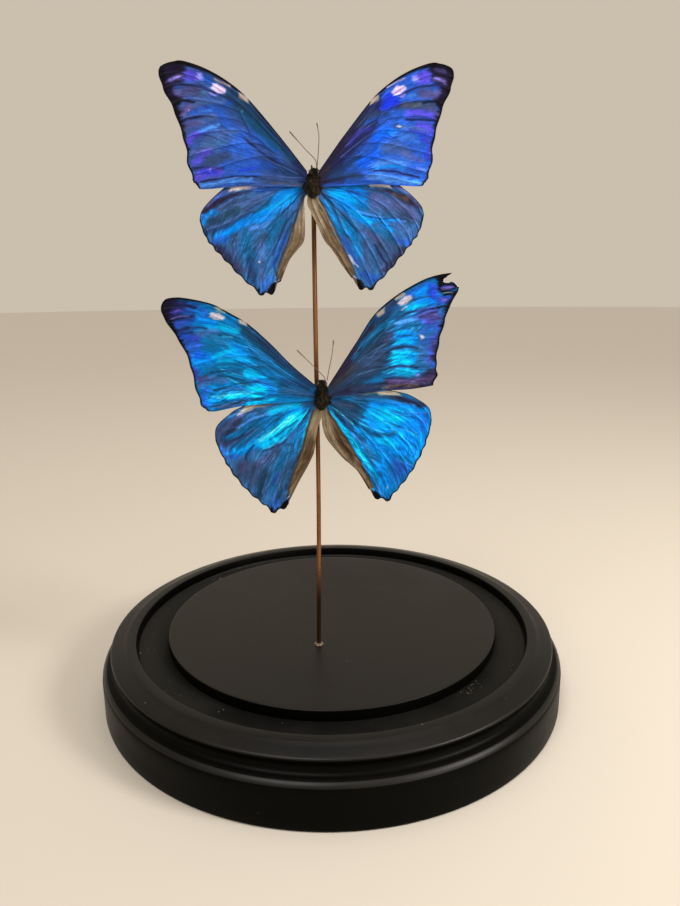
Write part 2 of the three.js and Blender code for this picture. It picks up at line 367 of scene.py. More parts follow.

# %% [markdown]
# ## Black paint
# The wood is painted black. The disc is smooth and satin, the rim and foot are a little glossier
# and the groove is dull and holds dust. Plain black would look like a hole in the picture, so
# colour, roughness and height all change a little over the surface. The cove and the walls of the
# foot, the groove and the disc get a darker, almost unreflecting black: painted shade that keeps
# these parts dark.

# %% Black paint finishes
def black_paint(name, colour, dust, smudge, roughness, bump, specular=0.18, dust_colour="6d665c"):
    material, tree, shader = new_material(name)
    effect = use_group(
        tree, paint_group, Colour=rgba(colour), Dust_Colour=rgba(dust_colour),
        Dust=dust, Smudge=smudge, Roughness=roughness,
    )
    feed(
        tree, shader, Base_Color=(effect, "Colour"), Roughness=(effect, "Roughness"),
        Specular_IOR_Level=specular, Normal=bumped(tree, (effect, "Height"), bump, 0.00008),
    )
    return material


rim_paint = black_paint("black_rim_paint", "0a0908", 0.7, 0.015, 0.36, 0.5)
groove_paint = black_paint("black_groove_paint", "060605", 1.0, 0.012, 0.6, 0.8, dust_colour="a59c8c")
# painted shade: a darker black with almost no reflection, for the cove and the steep walls
painted_shade_black = black_paint("black_with_painted_shade", "030302", 0.3, 0.003, 0.36, 0.3, specular=0.04)
disc_paint = black_paint("satin_disc_paint", "110f0c", 0.35, 0.015, 0.4, 0.2)


# %% Which face has which paint
FOOT_WALL_TOP = 11.9
COVE_LOW, COVE_HIGH = 13.2, 17.7
GROOVE_EDGE = 63.4
STEEP = 0.6


def give_paints(piece, paints, choose):
    """Gives each face the paint that choose picks from its radius and height."""
    for paint_coat in paints:
        piece.data.materials.append(paint_coat)
    for face in piece.data.polygons:
        radius = math.hypot(face.center.x, face.center.y) / MM
        coat = choose(radius, face.center.z / MM, abs(face.normal.z) < STEEP)
        face.material_index = paints.index(coat)


# The cove, the foot's wall and the groove's walls get the painted shade black.
def base_paint(radius, height, steep):
    if radius < GROOVE_EDGE and height > COVE_LOW:
        return painted_shade_black if steep else groove_paint
    in_painted_shade = height < FOOT_WALL_TOP or COVE_LOW < height < COVE_HIGH
    return painted_shade_black if in_painted_shade else rim_paint


# The disc's steep side gets the painted shade black.
def disc_coat(radius, height, steep):
    return painted_shade_black if steep else disc_paint


give_paints(turned_base, [rim_paint, groove_paint, painted_shade_black], base_paint)
give_paints(centre_disc, [disc_paint, painted_shade_black], disc_coat)
print("black paint on base and disc")

# %% [markdown]
# ## Dust grains
# A few pale crumbs lie in the groove, most of them in one heap at the front right. Noise could
# scatter them, but not put the heap in its place, so small balls are squashed to crumbs and joined
# to the base.

# %% Crumbs of dust
CRUMBS = [
    # x, y, spread and number of each heap
    (39.2, -39, 2, 13), (41.2, -36, 1.2, 6), (-46.8, 40.3, 1.5, 5), (-29, -48.4, 0.6, 2),
    (-12.5, -53.8, 0.3, 1), (-57, -14, 2.5, 3), (52, -26, 2.5, 4),
]
GROOVE_INNER, GROOVE_OUTER = 54.4, 61.4
CRUMB_RADII = (0.08, 0.16)
pale_dust, tree, shader = new_material("pale_dust")
feed(tree, shader, Base_Color=rgba("62594c"), Roughness=0.9)
rng = np.random.default_rng(7)
crumbs = []
for x, y, spread, count in CRUMBS:
    for place in rng.normal((x, y), spread, (count, 2)):
        reach = math.hypot(*place)
        place = place * min(max(reach, GROOVE_INNER), GROOVE_OUTER) / reach
        clear_selection()
        bpy.ops.mesh.primitive_ico_sphere_add(
            subdivisions=1,
            radius=rng.uniform(*CRUMB_RADII) * MM,
            location=(*place * MM, (GROOVE_FLOOR + 0.05) * MM),
        )
        edit_all()
        bpy.ops.transform.resize(value=(1.3, 0.8, 0.7))
        bpy.ops.object.mode_set(mode="OBJECT")
        bpy.ops.object.transform_apply(location=True, rotation=True, scale=True)
        crumbs.append(bpy.context.object)
        crumbs[-1].data.materials.append(pale_dust)
only(turned_base)
for crumb in crumbs:
    crumb.select_set(True)
bpy.ops.object.join()
print(len(crumbs), "crumbs in the groove")

# %% [markdown]
# ## Copper rod
# A thin copper-coated rod carries both butterflies. It is bowed by less than a millimetre, so it
# is a circle extruded along a few given points, not a plain cylinder. A curve with a bevel
# would do too, but its ends then need caps.

# %% Rod
ROD_RADIUS = 0.65
ROD_BOW = [
    (-3.9, 16.6), (-3.9, 21.6), (-3.45, 49.6), (-3.25, 79.6), (-3.4, 119.6), (-3.35, 154.6),
]

rod_path = smooth_run(ROD_BOW, 60)
clear_selection()
bpy.ops.mesh.primitive_circle_add(
    vertices=20, radius=ROD_RADIUS * MM, fill_type="NGON",
    location=metres(rod_path[0][0], ROD_FOOT[1], rod_path[0][1]),
)
rod = bpy.context.object
rod.name = "rod_copper"
edit_all()
for here, there in zip(rod_path[:-1], rod_path[1:]):
    step = metres(there[0] - here[0], 0, there[1] - here[1])
    bpy.ops.mesh.extrude_region_move(TRANSFORM_OT_translate={"value": step})
bpy.ops.transform.resize(value=(0.8, 0.8, 1))
bpy.ops.object.mode_set(mode="OBJECT")
point_outwards(rod)
settle(rod, "copper_rod", 40)

# %% Copper finish
copper, tree, shader = new_material("dulled_copper")
place = add(tree, "TexCoord")
drawn = add(tree, "Mapping", Vector=(place, "Object"), Scale=(1500, 1500, 60))
scores = add(tree, "TexNoise", Vector=(drawn, "Vector"), Scale=1.0, Detail=4.0)
tarnish = add(tree, "TexNoise", Vector=(place, "Object"), Scale=55.0, Detail=4.0, Roughness=0.65)
height = add(tree, "SeparateXYZ", Vector=(place, "Object"))
# painted reflection: the copper turns darker towards its foot, standing in for the dark base it mirrors;
# the tarnish patches are real
painted_dark_reflection = ramp(tree, (height, "Z"), 0.046, 0.034)
tarnish_and_painted_reflection = math_node(tree, "MAXIMUM", ramp(tree, (tarnish, "Fac"), 0.5, 0.8), painted_dark_reflection)
bright = mix(tree, ramp(tree, (scores, "Fac"), 0.3, 0.7), rgba("4a2e18"), rgba("8c6038"))
feed(
    tree, shader, Metallic=0.8,
    Base_Color=mix(tree, math_node(tree, "MULTIPLY", tarnish_and_painted_reflection, 0.8), bright, rgba("2a180d")),
    Roughness=ramp(tree, (tarnish, "Fac"), 0.3, 0.8, 0.22, 0.4),
    Normal=bumped(tree, (scores, "Fac"), 0.25, 0.00005),
)
rod.data.materials.append(copper)
print("copper on the rod")

# %% [markdown]
# ## Glue bead at the rod's foot
# A small ring of clear glue sits round the rod where it enters the disc. It is turned like the
# base, but its profile is a closed one: the last ring is merged with the first, so the bead is
# one closed body with a hole for the rod.

# %% Foot bead
bead_section = [
    (0.7, 19.62), (1.1, 19.6), (1.45, 19.62), (1.42, 19.8), (1.2, 20), (0.95, 20.12), (0.7, 20.2),
]
bead_profile = list(smooth_run(bead_section, 12))
bead = turn_on_lathe("foot_glue_bead", bead_profile + bead_profile[:1], 48, ROD_FOOT, ring=True)
settle(bead, "foot_bead", 60)

# %% Glue finish
glue, tree, shader = new_material("dried_clear_glue")
place = add(tree, "TexCoord")
cloud = add(tree, "TexNoise", Vector=(place, "Object"), Scale=900.0, Detail=3.0)
feed(
    tree, shader, Transmission_Weight=0.5, IOR=1.47,
    Base_Color=mix(tree, (cloud, "Fac"), rgba("3a2f24"), rgba("86775f")),
    Roughness=ramp(tree, (cloud, "Fac"), 0.3, 0.7, 0.15, 0.3),
    Normal=bumped(tree, (cloud, "Fac"), 0.3, 0.0002),
)
bead.data.materials.append(glue)
print("glue on the bead")

# %% [markdown]
# ## Wing shapes
# A wing is a thin membrane stretched between veins that fan out from its root. Its outline is
# four edges: the root, the leading edge, the scalloped outer margin and the inner edge. A grid
# is fitted between them, so its long lines run like the rows of scales and the veins, from root
# to margin. A flat outline filled with faces would be quicker, but it could carry neither the
# raised veins nor a pattern that follows them. Outlines are [outwards, up] from the thorax, drawn
# for a right wing; a left wing is the same outline turned over.

# %% Outlines
UPPER_FOREWING = {
    "leading": [(1.6, 3.3), (8.6, 11.9), (16.1, 20.3), (21.1, 24.3), (26.4, 27.1), (31.7, 28.7),
                (34.6, 28.5), (36.3, 28), (37.4, 27.4)],
    "outer": [(37.4, 27.4), (37.9, 26.2), (37.6, 24), (36.6, 21.2), (34.9, 17.8), (33.6, 13.5),
              (32.5, 9.5), (32.2, 5.5), (31.3, 2), (30.6, 0.2), (29.6, -0.8)],
    "inner": [(29.6, -0.8), (27.9, -1.2), (16.9, -0.4), (1.4, -0.6)],
    "scallops": 7,
}
UPPER_HINDWING = {
    "leading": [(1.4, 0.6), (13.6, 1.2), (20.7, 0.5), (25.2, -2.4), (28.9, -6.1), (29.8, -8.8)],
    "outer": [(29.8, -8.8), (28.6, -13), (26.5, -16), (23.4, -19.4), (19.5, -23.6), (15.6, -27)],
    "lobes": [(15.6, -27), (15, -27.9), (14, -28), (13.3, -27.3), (12.6, -27.5), (11.8, -27.9),
              (11, -27.3), (10.4, -25.2), (9.1, -24.4)],
    "inner": [(9.1, -24.4), (6.7, -19), (4.5, -16.3), (2.6, -13.6), (2.3, -7.4), (2.4, -3.7),
              (1.4, -1.6)],
    "scallops": 7,
}
UPPER_RIGHT_FOLD = [(9.1, -24.4), (6.9, -21.2), (4.1, -16.6), (2.3, -14.4), (0.5, -10.2),
                    (-1.1, -6.6), (-1.9, -4.6), (-1.4, -1.6)]
LOWER_FOREWING = {
    "leading": [(1.6, 3.4), (8.3, 9.3), (14.1, 15.4), (19.8, 20.6), (24.3, 23.4), (29.2, 26),
                (35.4, 27.5), (39, 27.8), (41.2, 27.4), (42.1, 26.6)],
    "outer": [(42.1, 26.6), (42.7, 25.2), (42.3, 22.8), (40.3, 19.3), (38, 15.3), (36.1, 10.4),
              (35.3, 5.7), (34.3, 1), (33.3, -1.8), (31.8, -2.9)],
    "inner": [(31.8, -2.9), (29.5, -3), (20.7, -1.6), (1.4, -0.6)],
    "scallops": 7,
}
TORN_FOREWING = {
    "leading": [(1.6, 3.4), (5.5, 9.3), (9.7, 15.6), (14.4, 22.6), (20.4, 27.7), (27.5, 31.7),
                (32.4, 33.2), (35.8, 33.6)],
    "tip": [(35.8, 33.6), (37, 33), (37.6, 31.5), (37.8, 30), (37.6, 28.7)],
    "outer": [(37.6, 28.7), (35.5, 24.7), (33.9, 19.3), (32.7, 14.1), (32.2, 9.2), (32.5, 5.8),
              (31.2, 2.9)],
    "inner": [(31.2, 2.9), (25, 2), (15.7, 1.5), (1.4, -0.4)],
    "scallops": 6,
}
TEAR = [(36.2, 34), (35.9, 33.5), (35.2, 33), (34.6, 32.8), (34.2, 32.3), (33.7, 32.1), (33.6, 31.6),
        (33.4, 31.4), (33.9, 31.1), (34.3, 31.15), (34.7, 31), (35.3, 31.3), (35.8, 31.4), (36.1, 31.15),
        (36.6, 31.2), (37, 30.6), (37.3, 30.4), (37.4, 30), (39, 30), (39, 35), (36.4, 35)]
LOWER_HINDWING = {
    "leading": [(1.4, 0.4), (14.6, 0), (22.4, -2), (26.6, -4.5), (29.8, -7.7), (30.2, -11.4)],
    "outer": [(30.2, -11.4), (28.5, -16.4), (26.2, -20.8), (22.8, -25.6), (18.8, -29.7),
              (15.8, -32.2)],
    "lobes": [(15.8, -32.2), (15.2, -33.2), (14.1, -33.4), (13.3, -32.5), (12.6, -32.1),
              (11.7, -32.4), (10.9, -31.9), (10.3, -30.6), (10.1, -29.4), (9.3, -28.6)],
    "inner": [(9.3, -28.6), (7, -24.1), (4.4, -19.6), (2.7, -15.9), (2, -12.1), (1.5, -8.8),
              (0.6, -6.4), (0.1, -4.3), (1, -1.6)],
    "scallops": 7,
}
LOWER_RIGHT_FOLD = [(9.3, -28.6), (6.7, -22.5), (3.2, -18.2), (0.2, -13.3), (-0.9, -10.7),
                    (-1.2, -7.7), (-0.8, -4.3), (0.4, -1.6)]
SCALLOP_DEPTH = 0.36
print("6 wing outlines")

# %% Grid fitted between the four edges
ALONG = 170     # cells from root to margin
ACROSS = 210    # cells from leading to inner edge


def even_steps(points, count):
    """The same line as count + 1 points at equal distances."""
    points = np.array(points, float)
    lengths = np.concatenate([[0], np.cumsum(np.hypot(*np.diff(points, axis=0).T))])
    wanted = np.linspace(0, lengths[-1], count + 1)
    return np.stack([np.interp(wanted, lengths, points[:, k]) for k in (0, 1)], axis=1)


def outer_margin(outline):
    """The outer margin with its dips between the vein ends, then the tail lobes."""
    line = smooth_run(outline["outer"], 420)
    t = np.linspace(0, 1, len(line))
    dip = SCALLOP_DEPTH * np.abs(np.sin(np.pi * outline["scallops"] * t)) ** 2
    dip *= smooth_step(0.04, 0.3, t)
    inwards = np.array(outline["leading"][0]) - line
    line = line + inwards / np.linalg.norm(inwards, axis=1)[:, None] * dip[:, None]
    parts = [smooth_run(outline["tip"], 60)] if "tip" in outline else []
    parts.append(line)
    if "lobes" in outline:
        parts.append(smooth_run(outline["lobes"], 80)[1:])
    return np.concatenate(parts)


def fitted_grid(outline, u, v):
    """Places each (u, v) between the four edges of an outline; u runs out, v runs across."""
    leading = even_steps(smooth_run(outline["leading"], 400), ALONG)
    inner = even_steps(smooth_run(outline["inner"], 400)[::-1], ALONG)
    outer = even_steps(outer_margin(outline), ACROSS)
    root = even_steps([outline["leading"][0], outline["inner"][-1]], ACROSS)
    i, j = np.rint(u * ALONG).astype(int), np.rint(v * ACROSS).astype(int)
    u, v = u[:, None], v[:, None]
    across = (1 - v) * leading[i] + v * inner[i]
    along = (1 - u) * root[j] + u * outer[j]
    root_side = (1 - v) * leading[0] + v * inner[0]
    outer_side = (1 - v) * leading[-1] + v * inner[-1]
    return across + along - ((1 - u) * root_side + u * outer_side)


print("grid of", ALONG, "by", ACROSS, "cells for each wing")

# %% [markdown]
# ## Painting with strokes
# The blue of these wings is not a flat colour: bright azure rays, violet spots at the margin,
# a black tip and pearl spots lie over each other, and fine rows of scales run through them all.
# The azure and cyan rays and the thin ice-blue lines are painted sheen: the gleam of the blue,
# which moves with the angle of view, laid into the colour.
# An image texture would be the quick way, but a painter's way keeps it sharp at any size:
# a base colour, then strokes along a few points, each with a colour, half its width and its
# strength, or fills inside an outline. The rows of scales make each stroke's edge ragged.

# %% Colours of the paint box
PAINT = {
    "soot": "060408", "dusk": "241d36", "plum": "41355c", "slate": "2c3d60", "navy": "172e55",
    "midnight": "181c43", "teal": "0c5485", "deep_teal": "173450", "royal": "2250b5",
    "deep_blue": "1a4398", "ultra": "162ecf", "azure": "007ade", "sky": "4482de", "cyan": "00a8e7",
    "ice": "50d2fc", "violet": "4e45cc", "indigo": "3834ae", "lilac": "8c86ee", "mauve": "5c5698",
    "haze": "3e5a98", "steel": "3c6790", "lagoon": "0467aa", "denim": "2c498b", "marine": "285890",
    "lapis": "0c4ccc", "ink": "150e24", "cream": "a3948c", "pearl": "b4a4d2", "milk": "b2aec2",
    "chalk": "d2c8ce", "violet_slate": "44457a", "parchment": "b4a894",
    "sand": "8f826c", "bark": "675641", "dark_bark": "3a2c1e", "rust": "6a3a20",
}
PAINT = {label: hex_values(code) for label, code in PAINT.items()}
print(len(PAINT), "colours")


# %% Strokes and fills
def distance_to_line(points, line):
    """Distance of each point to the nearest part of a line of given points."""
    nearest = np.full(len(points), 1e9)
    line = np.array(line, float)
    if len(line) == 1:
        line = np.repeat(line, 2, axis=0)
    for start, end in zip(line[:-1], line[1:]):
        step = end - start
        t = np.clip((points - start) @ step / max(step @ step, 1e-9), 0, 1)
        away = points - start - t[:, None] * step
        nearest = np.minimum(nearest, np.hypot(away[:, 0], away[:, 1]))
    return nearest


def inside_outline(points, outline):
    outline = np.array(outline, float)
    crossed = np.zeros(len(points), bool)
    x, z = points.T
    for (x0, z0), (x1, z1) in zip(outline, np.roll(outline, -1, axis=0)):
        if z0 != z1:
            crossed ^= ((z0 > z) != (z1 > z)) & (x < x0 + (z - z0) * (x1 - x0) / (z1 - z0))
    return crossed


def marks(text):
    """Brush marks, one on each line: a colour, half the line's width, its strength, and its
    points as x,z. A mark that starts with fill is a filled shape, whose edge is that soft."""
    found = []
    for line in text.strip().splitlines():
        kind = "fill" if line.startswith("fill ") else "stroke"
        name, size, strength, *points = line.removeprefix("fill ").split()
        shape = [tuple(float(value) for value in point.split(",")) for point in points]
        found.append((kind, name, float(size), float(strength), shape))
    return found


def paint(base, strokes, points, ragged):
    """Colour of each point of a wing: the base colour, with each stroke laid over the last."""
    colour = np.repeat(PAINT[base][None], len(points), axis=0) if isinstance(base, str) else base
    for kind, name, size, strength, shape in strokes:
        shifted = points + ragged * min(1, 0.15 + size)
        if kind == "stroke":
            line = smooth_run(shape, 4 * len(shape)) if len(shape) > 2 else shape
            away = distance_to_line(shifted, line)
            cover = 1 - smooth_step(size * 0.2, size * 1.6, away)
        else:
            away = distance_to_line(shifted, shape + shape[:1])
            away = away * np.where(inside_outline(shifted, shape), -1, 1)
            cover = 1 - smooth_step(-size, size, away)
        cover = (cover * strength)[:, None]
        colour = colour * (1 - cover) + PAINT[name] * cover
    return colour


print("brush ready")

# %% [markdown]
# ## The upper butterfly's colours
# Its wings are deep violet-blue. Each wing is seen at its own angle, so the bright azure rays, a
# painted sheen of the blue, lie in other places on the left and the right, while the black tip,
# the pearl spots and the violet spots along the margin match. Strokes go from the root outwards,
# dark grounds first.

# %% Upper forewings
FOREWING_SPOTS = marks("""
fill ink 0.9 0.95 31.8,29.5 31.4,26.6 32.4,24 34.4,22.8 33.4,20.3 34.8,17.4 36,16 40,20 40,30
soot 0.7 0.9 30,28.4 34,28.4 37,27.6 37.6,25 36.6,21.6
midnight 0.32 0.8 24.4,21.5 28,23 32,23.4 35,23.6
soot 0.3 0.7 29.5,19.4 32,19.7 35,19.4
fill soot 0.4 0.8 32.4,20.2 33.2,18.8 34.8,18.2 35.6,20
soot 0.6 1 35.8,20 34.2,16.6 33.4,14
soot 0.4 0.8 33.4,14 32.5,10.8 32,8.2
mauve 0.6 0.9 32.8,25.1 34.2,24.8 35.4,24.3
lilac 0.25 0.7 33.1,25.1 34.2,24.8
fill mauve 0.5 0.75 32.9,22 34.5,22.3 34.8,21.3 33.8,20.6 32.7,21
ink 0.9 0.45 35.4,20 33.8,16.4 33,13.6
""")
UPPER_FORE_LEFT = marks("""
fill deep_teal 1.5 0.9 1,3 10,14 20,23.5 22.5,20.5 17,15 11,9 4,4
fill midnight 0.9 0.8 0,2 6,9.5 15,19.5 14,17 7,8.5 2,3
navy 1.5 0.9 3,1.5 8,3.5 13,5.5
deep_blue 1.2 0.8 9,7 12.5,10 16,12.5
teal 1.2 0.4 10,9 14,13.5 18,17
teal 0.5 0.35 5,6 9,10.5 13,14.8
midnight 0.3 0.7 8,4.6 12,7 16,10 20,13
royal 1.9 0.9 16.5,7.5 19,9 22,8.4
royal 1.3 0.9 14,5.2 18,4.6 22.5,4.2
ultra 0.5 0.5 14.5,4.2 17,3.6 19,3.4
royal 1.5 0.85 18.5,11.8 21,13.6 23,16.5
deep_blue 0.9 0.8 20.5,19.5 23,19.2 26,19
haze 0.9 0.8 20,12.8 23,12 27,10.2
haze 1.1 0.9 25.2,22 27,21 30,19.2
slate 0.9 0.7 27.6,21.4 30,21.6
violet_slate 1.1 0.9 28.8,22 31,22 32.6,21.2
violet_slate 1.3 0.9 29.8,18.4 32.4,17.4 33.4,16.9
haze 0.6 0.9 22,19.8 26,19.4 29.6,18.9
royal 0.8 0.8 23,17.4 26.5,17.7 30.2,17
sky 0.3 0.5 25.4,17.6 28.6,17.3
midnight 0.35 0.8 24.4,15.9 29,16 33,14.9
haze 0.7 0.9 24.5,16 27.5,15.3 29.4,14.4
violet_slate 0.9 0.85 29,14.6 31.2,14.2 32.8,12.6
sky 0.45 0.8 23.8,14.1 26.6,13.2 29.6,12.1
indigo 0.35 0.8 27.5,12.2 30,11 31.9,9
violet 0.8 0.85 29.6,12 31,11 31.7,9.9
steel 0.9 0.5 22.5,10 25.5,9.4 28,9.2
mauve 0.6 0.5 26.2,8.6 28,8.2 30.6,7.4
violet 0.9 0.85 27,7.7 28.8,6.4 30.5,5.2
slate 1.3 0.8 22.4,7 24.6,5.8 27,5.4
midnight 0.35 0.7 23,3.7 26,4 30.6,3.9
violet 1.2 0.9 24.4,3 27.5,2.6 29.8,1.6
ultra 0.6 0.5 25.5,3 28.5,2.8
lilac 0.25 0.5 26.3,3.8 26.5,3
royal 0.7 0.8 14,2.6 18,2.6 23,2.2
midnight 0.22 0.85 14.6,2 20,1.9 25.5,1.2 29,0.6
sky 0.65 0.85 16.4,1.2 21,0.9 26,0 29,-0.4
deep_blue 0.25 0.7 16,0.4 21,0.2 26,-0.8
slate 0.8 0.6 5,0.5 10,0.9 14,0.9
haze 0.5 0.6 4,0.8 8,1.6 13,2
bark 0.3 0.35 2,-0.1 6,0.1 11,0.3
haze 0.12 0.7 2,1.6 6,1.8 10,1.7
midnight 1 0.6 0.6,0.8 3,3 5,5
deep_blue 0.9 0.8 10.6,4.5 12.4,4.6 14,4.2
haze 0.16 0.8 4.5,3.6 8,6.2 12.5,8.5
haze 0.14 0.7 4,2.6 8.5,4.6 13,6.6
steel 0.35 0.8 17.7,17.3
steel 0.55 0.9 27.4,21.4
""") + FOREWING_SPOTS + marks("""
fill violet 0.6 0.85 28.9,24.2 28.6,26.2 30.6,26.9 31.8,26 31.8,24.2
fill deep_blue 0.4 0.9 25,23 24.6,24.6 27.4,26.4 27.2,24.2
fill lilac 0.35 0.95 27.2,24.4 27.4,26 28.6,26.1 28.6,24.7
mauve 0.5 0.8 30.8,18.2 31.8,17.4 32.4,16.4
lilac 0.28 0.7 31.2,17.5
fill pearl 0.22 1 21.4,22.4 22,21.4 23.6,21.4 25.4,22.6 24.8,23.7 23.8,23.8
lilac 0.3 0.7 24.2,20.9 25.4,21.4
""")
UPPER_FORE_RIGHT = marks("""
fill midnight 1.8 0.95 0,2 10,14 19,22.5 20.5,19 15,11 9,5.5 3,2
fill dusk 1 0.8 0,2 8,11.5 16,20 15.5,17.6 8,8 3,2
midnight 1.7 0.9 0.5,0.6 4,2.6 7.4,4.6
dark_bark 0.9 0.5 0.5,0.8 2.6,2.2 4,4
slate 1.2 0.6 13,14 16,17 20,17.4
indigo 0.8 0.5 10,10.4 13,13 15,13.6
haze 0.15 0.7 7.5,6.6 12,9.8 17,13
haze 0.13 0.6 9,9.4 13,12.6 17,15
deep_blue 1 0.8 11,3.4 13,4.4 15,5.2
lapis 1.7 0.9 13.5,5.4 16,6.2 18.2,8.6
navy 1 0.7 6,3 9.6,5 12,7
lapis 1.6 0.95 17.4,11.2 19.6,12.4 22,12.6
azure 0.8 0.5 20,12.6 22.6,12.8
royal 1.2 0.7 21.4,14.8 24.6,15.4 28,14.6
sky 1.1 0.5 22.5,11.4 25.6,10.9 28,9.8
ultra 1.3 0.4 29,12 30.4,9 30.6,5.6
haze 1.5 0.8 19.5,8.6 22.6,8.6 25.4,7.6
mauve 0.7 0.5 24.4,7.2 27,6 29.4,5
royal 1.2 0.8 25.5,9.5 28.6,8.6 31,8
sky 1.3 0.8 17,4.4 21,4.9 25.6,4.4
azure 0.4 0.7 16.8,3.6 20,4 24,3.6
deep_blue 0.16 0.7 18,5.6 22,5.8 26,5
royal 1.3 0.8 26,3.6 28.4,3 30.4,3
lilac 0.35 0.4 28,3.4 30.4,2.8
royal 1 0.8 27.5,1.6 29.6,0.8
midnight 0.24 0.9 16.4,3 21,2.8 25,1.9 28.6,0.9
sky 0.9 0.9 16,1.7 20,1.4 25,0.6
sky 0.6 0.8 18,0.7 24.5,0.2 28.8,-0.4
haze 0.5 0.6 8,1.4 13,1.6 17,1.4
dusk 0.8 0.8 0.6,0.4 4,0.8 8,0.9
deep_blue 0.6 0.8 9,0.6 13,0.4 18,-0.2
navy 1 0.8 5,1.8 9,2 13,2
deep_blue 0.5 0.7 15,15 18,16.2 22,16
royal 0.7 0.9 22.5,16.6 25,17 28,16.8
violet 1 0.9 26,17 29.4,17.2 32.4,16.2
midnight 0.3 0.9 25.4,15.5 29,15.3 33.4,15
violet 1.2 0.9 28.6,13.8 31,13.4 32.4,12.4
haze 0.6 0.7 24.6,13.8 27.5,13.2 30,12.6
indigo 0.3 0.7 26,12.8 29.6,12.2 32,11
indigo 0.8 0.7 30.4,10.4 31.6,8.8 31,6
fill slate 0.6 0.95 21,18 26,18 33,17.6 34,19.6 28,19.9 23,19.3
sand 0.5 0.25 24,18.8 29,18.9
fill ultra 0.8 0.95 18.4,18.6 20.4,22 23.6,21.4 23.6,19.2 20.6,17.8
royal 0.9 0.95 24,20.4 26.6,20.9 28.4,21.2
sky 0.35 0.6 25.6,20.9 27.6,21.4
violet_slate 1.1 0.9 29,21.4 31.6,21.6 33,21
""") + FOREWING_SPOTS + marks("""
fill violet 0.5 1 28.4,23.6 28,26 30,27.2 31.6,26.8 31.8,24
fill royal 0.5 0.95 24,22.8 24,24.8 27.6,26.6 28,24 25.6,22.6
fill lilac 0.35 0.9 27.1,24.2 27.2,25.8 28.4,26 28.5,24.6
mauve 0.5 0.5 33.2,27.2 35.4,26.8
violet_slate 0.7 0.8 31,18.3 33,17.4 33.8,16.6
fill pearl 0.22 1 21.2,22 22,21.3 23.6,21.4 25.6,22.8 24.6,23.6 23,23.7
lilac 0.35 0.85 24,20.7 24.8,21.4
slate 1.1 0.8 23.3,13.9
milk 0.4 1 23.2,13.9 23.6,14
""")
print("upper forewings:", len(UPPER_FORE_LEFT) + len(UPPER_FORE_RIGHT), "strokes")

# %% Upper hindwings
UPPER_HIND_LEFT = marks("""
fill slate 1.2 0.8 12,-1 29,-6 29,-12 14,-5
haze 0.8 0.8 10,-1 15,-3.6 19,-5.4
royal 0.7 0.7 8,-0.6 12,-1 15.6,-1.6
steel 1.2 0.7 19.5,-6.2 24,-8
deep_teal 1 0.7 20,-6.6 23.6,-7.8 26.6,-9.6
navy 0.8 0.8 16,-7 21,-9.4 26,-11.6 28.4,-11.6
haze 0.18 0.9 14,-5.2 19,-7.4 25,-10.2 28,-11
haze 0.25 0.9 15.6,-1.7 20,-3.2 25,-5.8 27.4,-7
haze 0.2 0.7 15,-3 20,-5 26,-7.8
azure 0.8 0.7 26,-7 28.6,-8.2 28.8,-9.6
fill dusk 0.5 0.95 16.4,-1.5 21,-2 26.6,-4.2 29.6,-7 28.6,-7.2 22,-3.4
mauve 0.6 0.7 21,-1.2 24.4,-2.4 27.6,-5
royal 0.45 0.5 23,-2 26,-3.6
azure 1.1 0.8 4,-1 7,-2 10.5,-3.4
azure 1.7 0.95 5.4,-3 8,-4.4 11,-6.2 14,-8
cyan 1 0.5 6,-3 9,-4.9 13,-7.4
azure 1.2 1 12,-7.4 17,-9 21,-10.8 25,-13.4
royal 0.9 0.7 23,-13.2 26.4,-14.6
sky 0.25 0.5 8,-5 13,-8 18,-10
teal 0.5 0.9 11,-3 12.4,-5 15,-6.6
navy 0.22 0.9 3,-1.8 8,-6.8 12.6,-11
sky 0.6 0.8 10.5,-8.4 14,-10.4 16.6,-11
teal 1.7 0.8 9,-9 11.5,-12.4 13,-15
slate 1.3 0.7 13,-12.8 14.6,-14.6 15.6,-16
sky 0.4 0.6 17.5,-12.4
teal 1.6 0.7 18,-13.5 18,-16 17,-18
haze 0.9 0.8 14,-15 14.2,-20 14.2,-25
slate 1 0.7 21,-13 21.6,-16.4 20,-19.6
haze 0.14 0.8 20.6,-13 21.2,-16 20.2,-18.6
haze 0.14 0.8 21.6,-13.6 22.2,-16 21.4,-18.4
dusk 1.3 0.75 25,-15.8 23,-18.8 20.5,-21.6
navy 1.1 0.7 17,-19 17,-22 16.6,-25
plum 0.5 0.5 20.5,-20 17.6,-22.6
haze 0.2 0.8 3.4,-3 7,-9 9.6,-15
navy 0.25 0.8 4.6,-6.2 8,-10.6 11,-17.6
royal 0.9 0.6 7,-12 9.2,-16 11,-20
navy 0.4 0.6 6,-9.6 8.6,-15 11,-20.6
ice 0.18 0.3 11.2,-21 12.2,-22.6
royal 0.9 0.5 12.4,-24 14,-26.4
milk 0.22 1 14.7,-19.2 14.7,-19.5
fill chalk 0.35 1 16,0.4 16.2,-0.9 20.6,-1.5 22.4,-1.7 21.4,-0.2
lilac 0.5 0.6 10,0.4 14,-0.2 16.6,-0.6
fill bark 0.5 0.97 1.6,-1.4 3.4,-6 5,-10 6.4,-13.6 8.4,-18 10.2,-23 9,-25 5,-22 0,-14 -1,-4
fill sand 0.9 0.55 1,-2 3.4,-6 4.8,-11 3.4,-12 1,-8
fill parchment 0.8 0.15 1,-2 2.8,-4.6 3.4,-8 1.6,-8
dark_bark 0.3 0.8 2.6,-2.6 4.8,-8.4 6.6,-13.2 8.6,-18 10.4,-23
dark_bark 0.6 0.8 8.6,-22 9.6,-24
""")
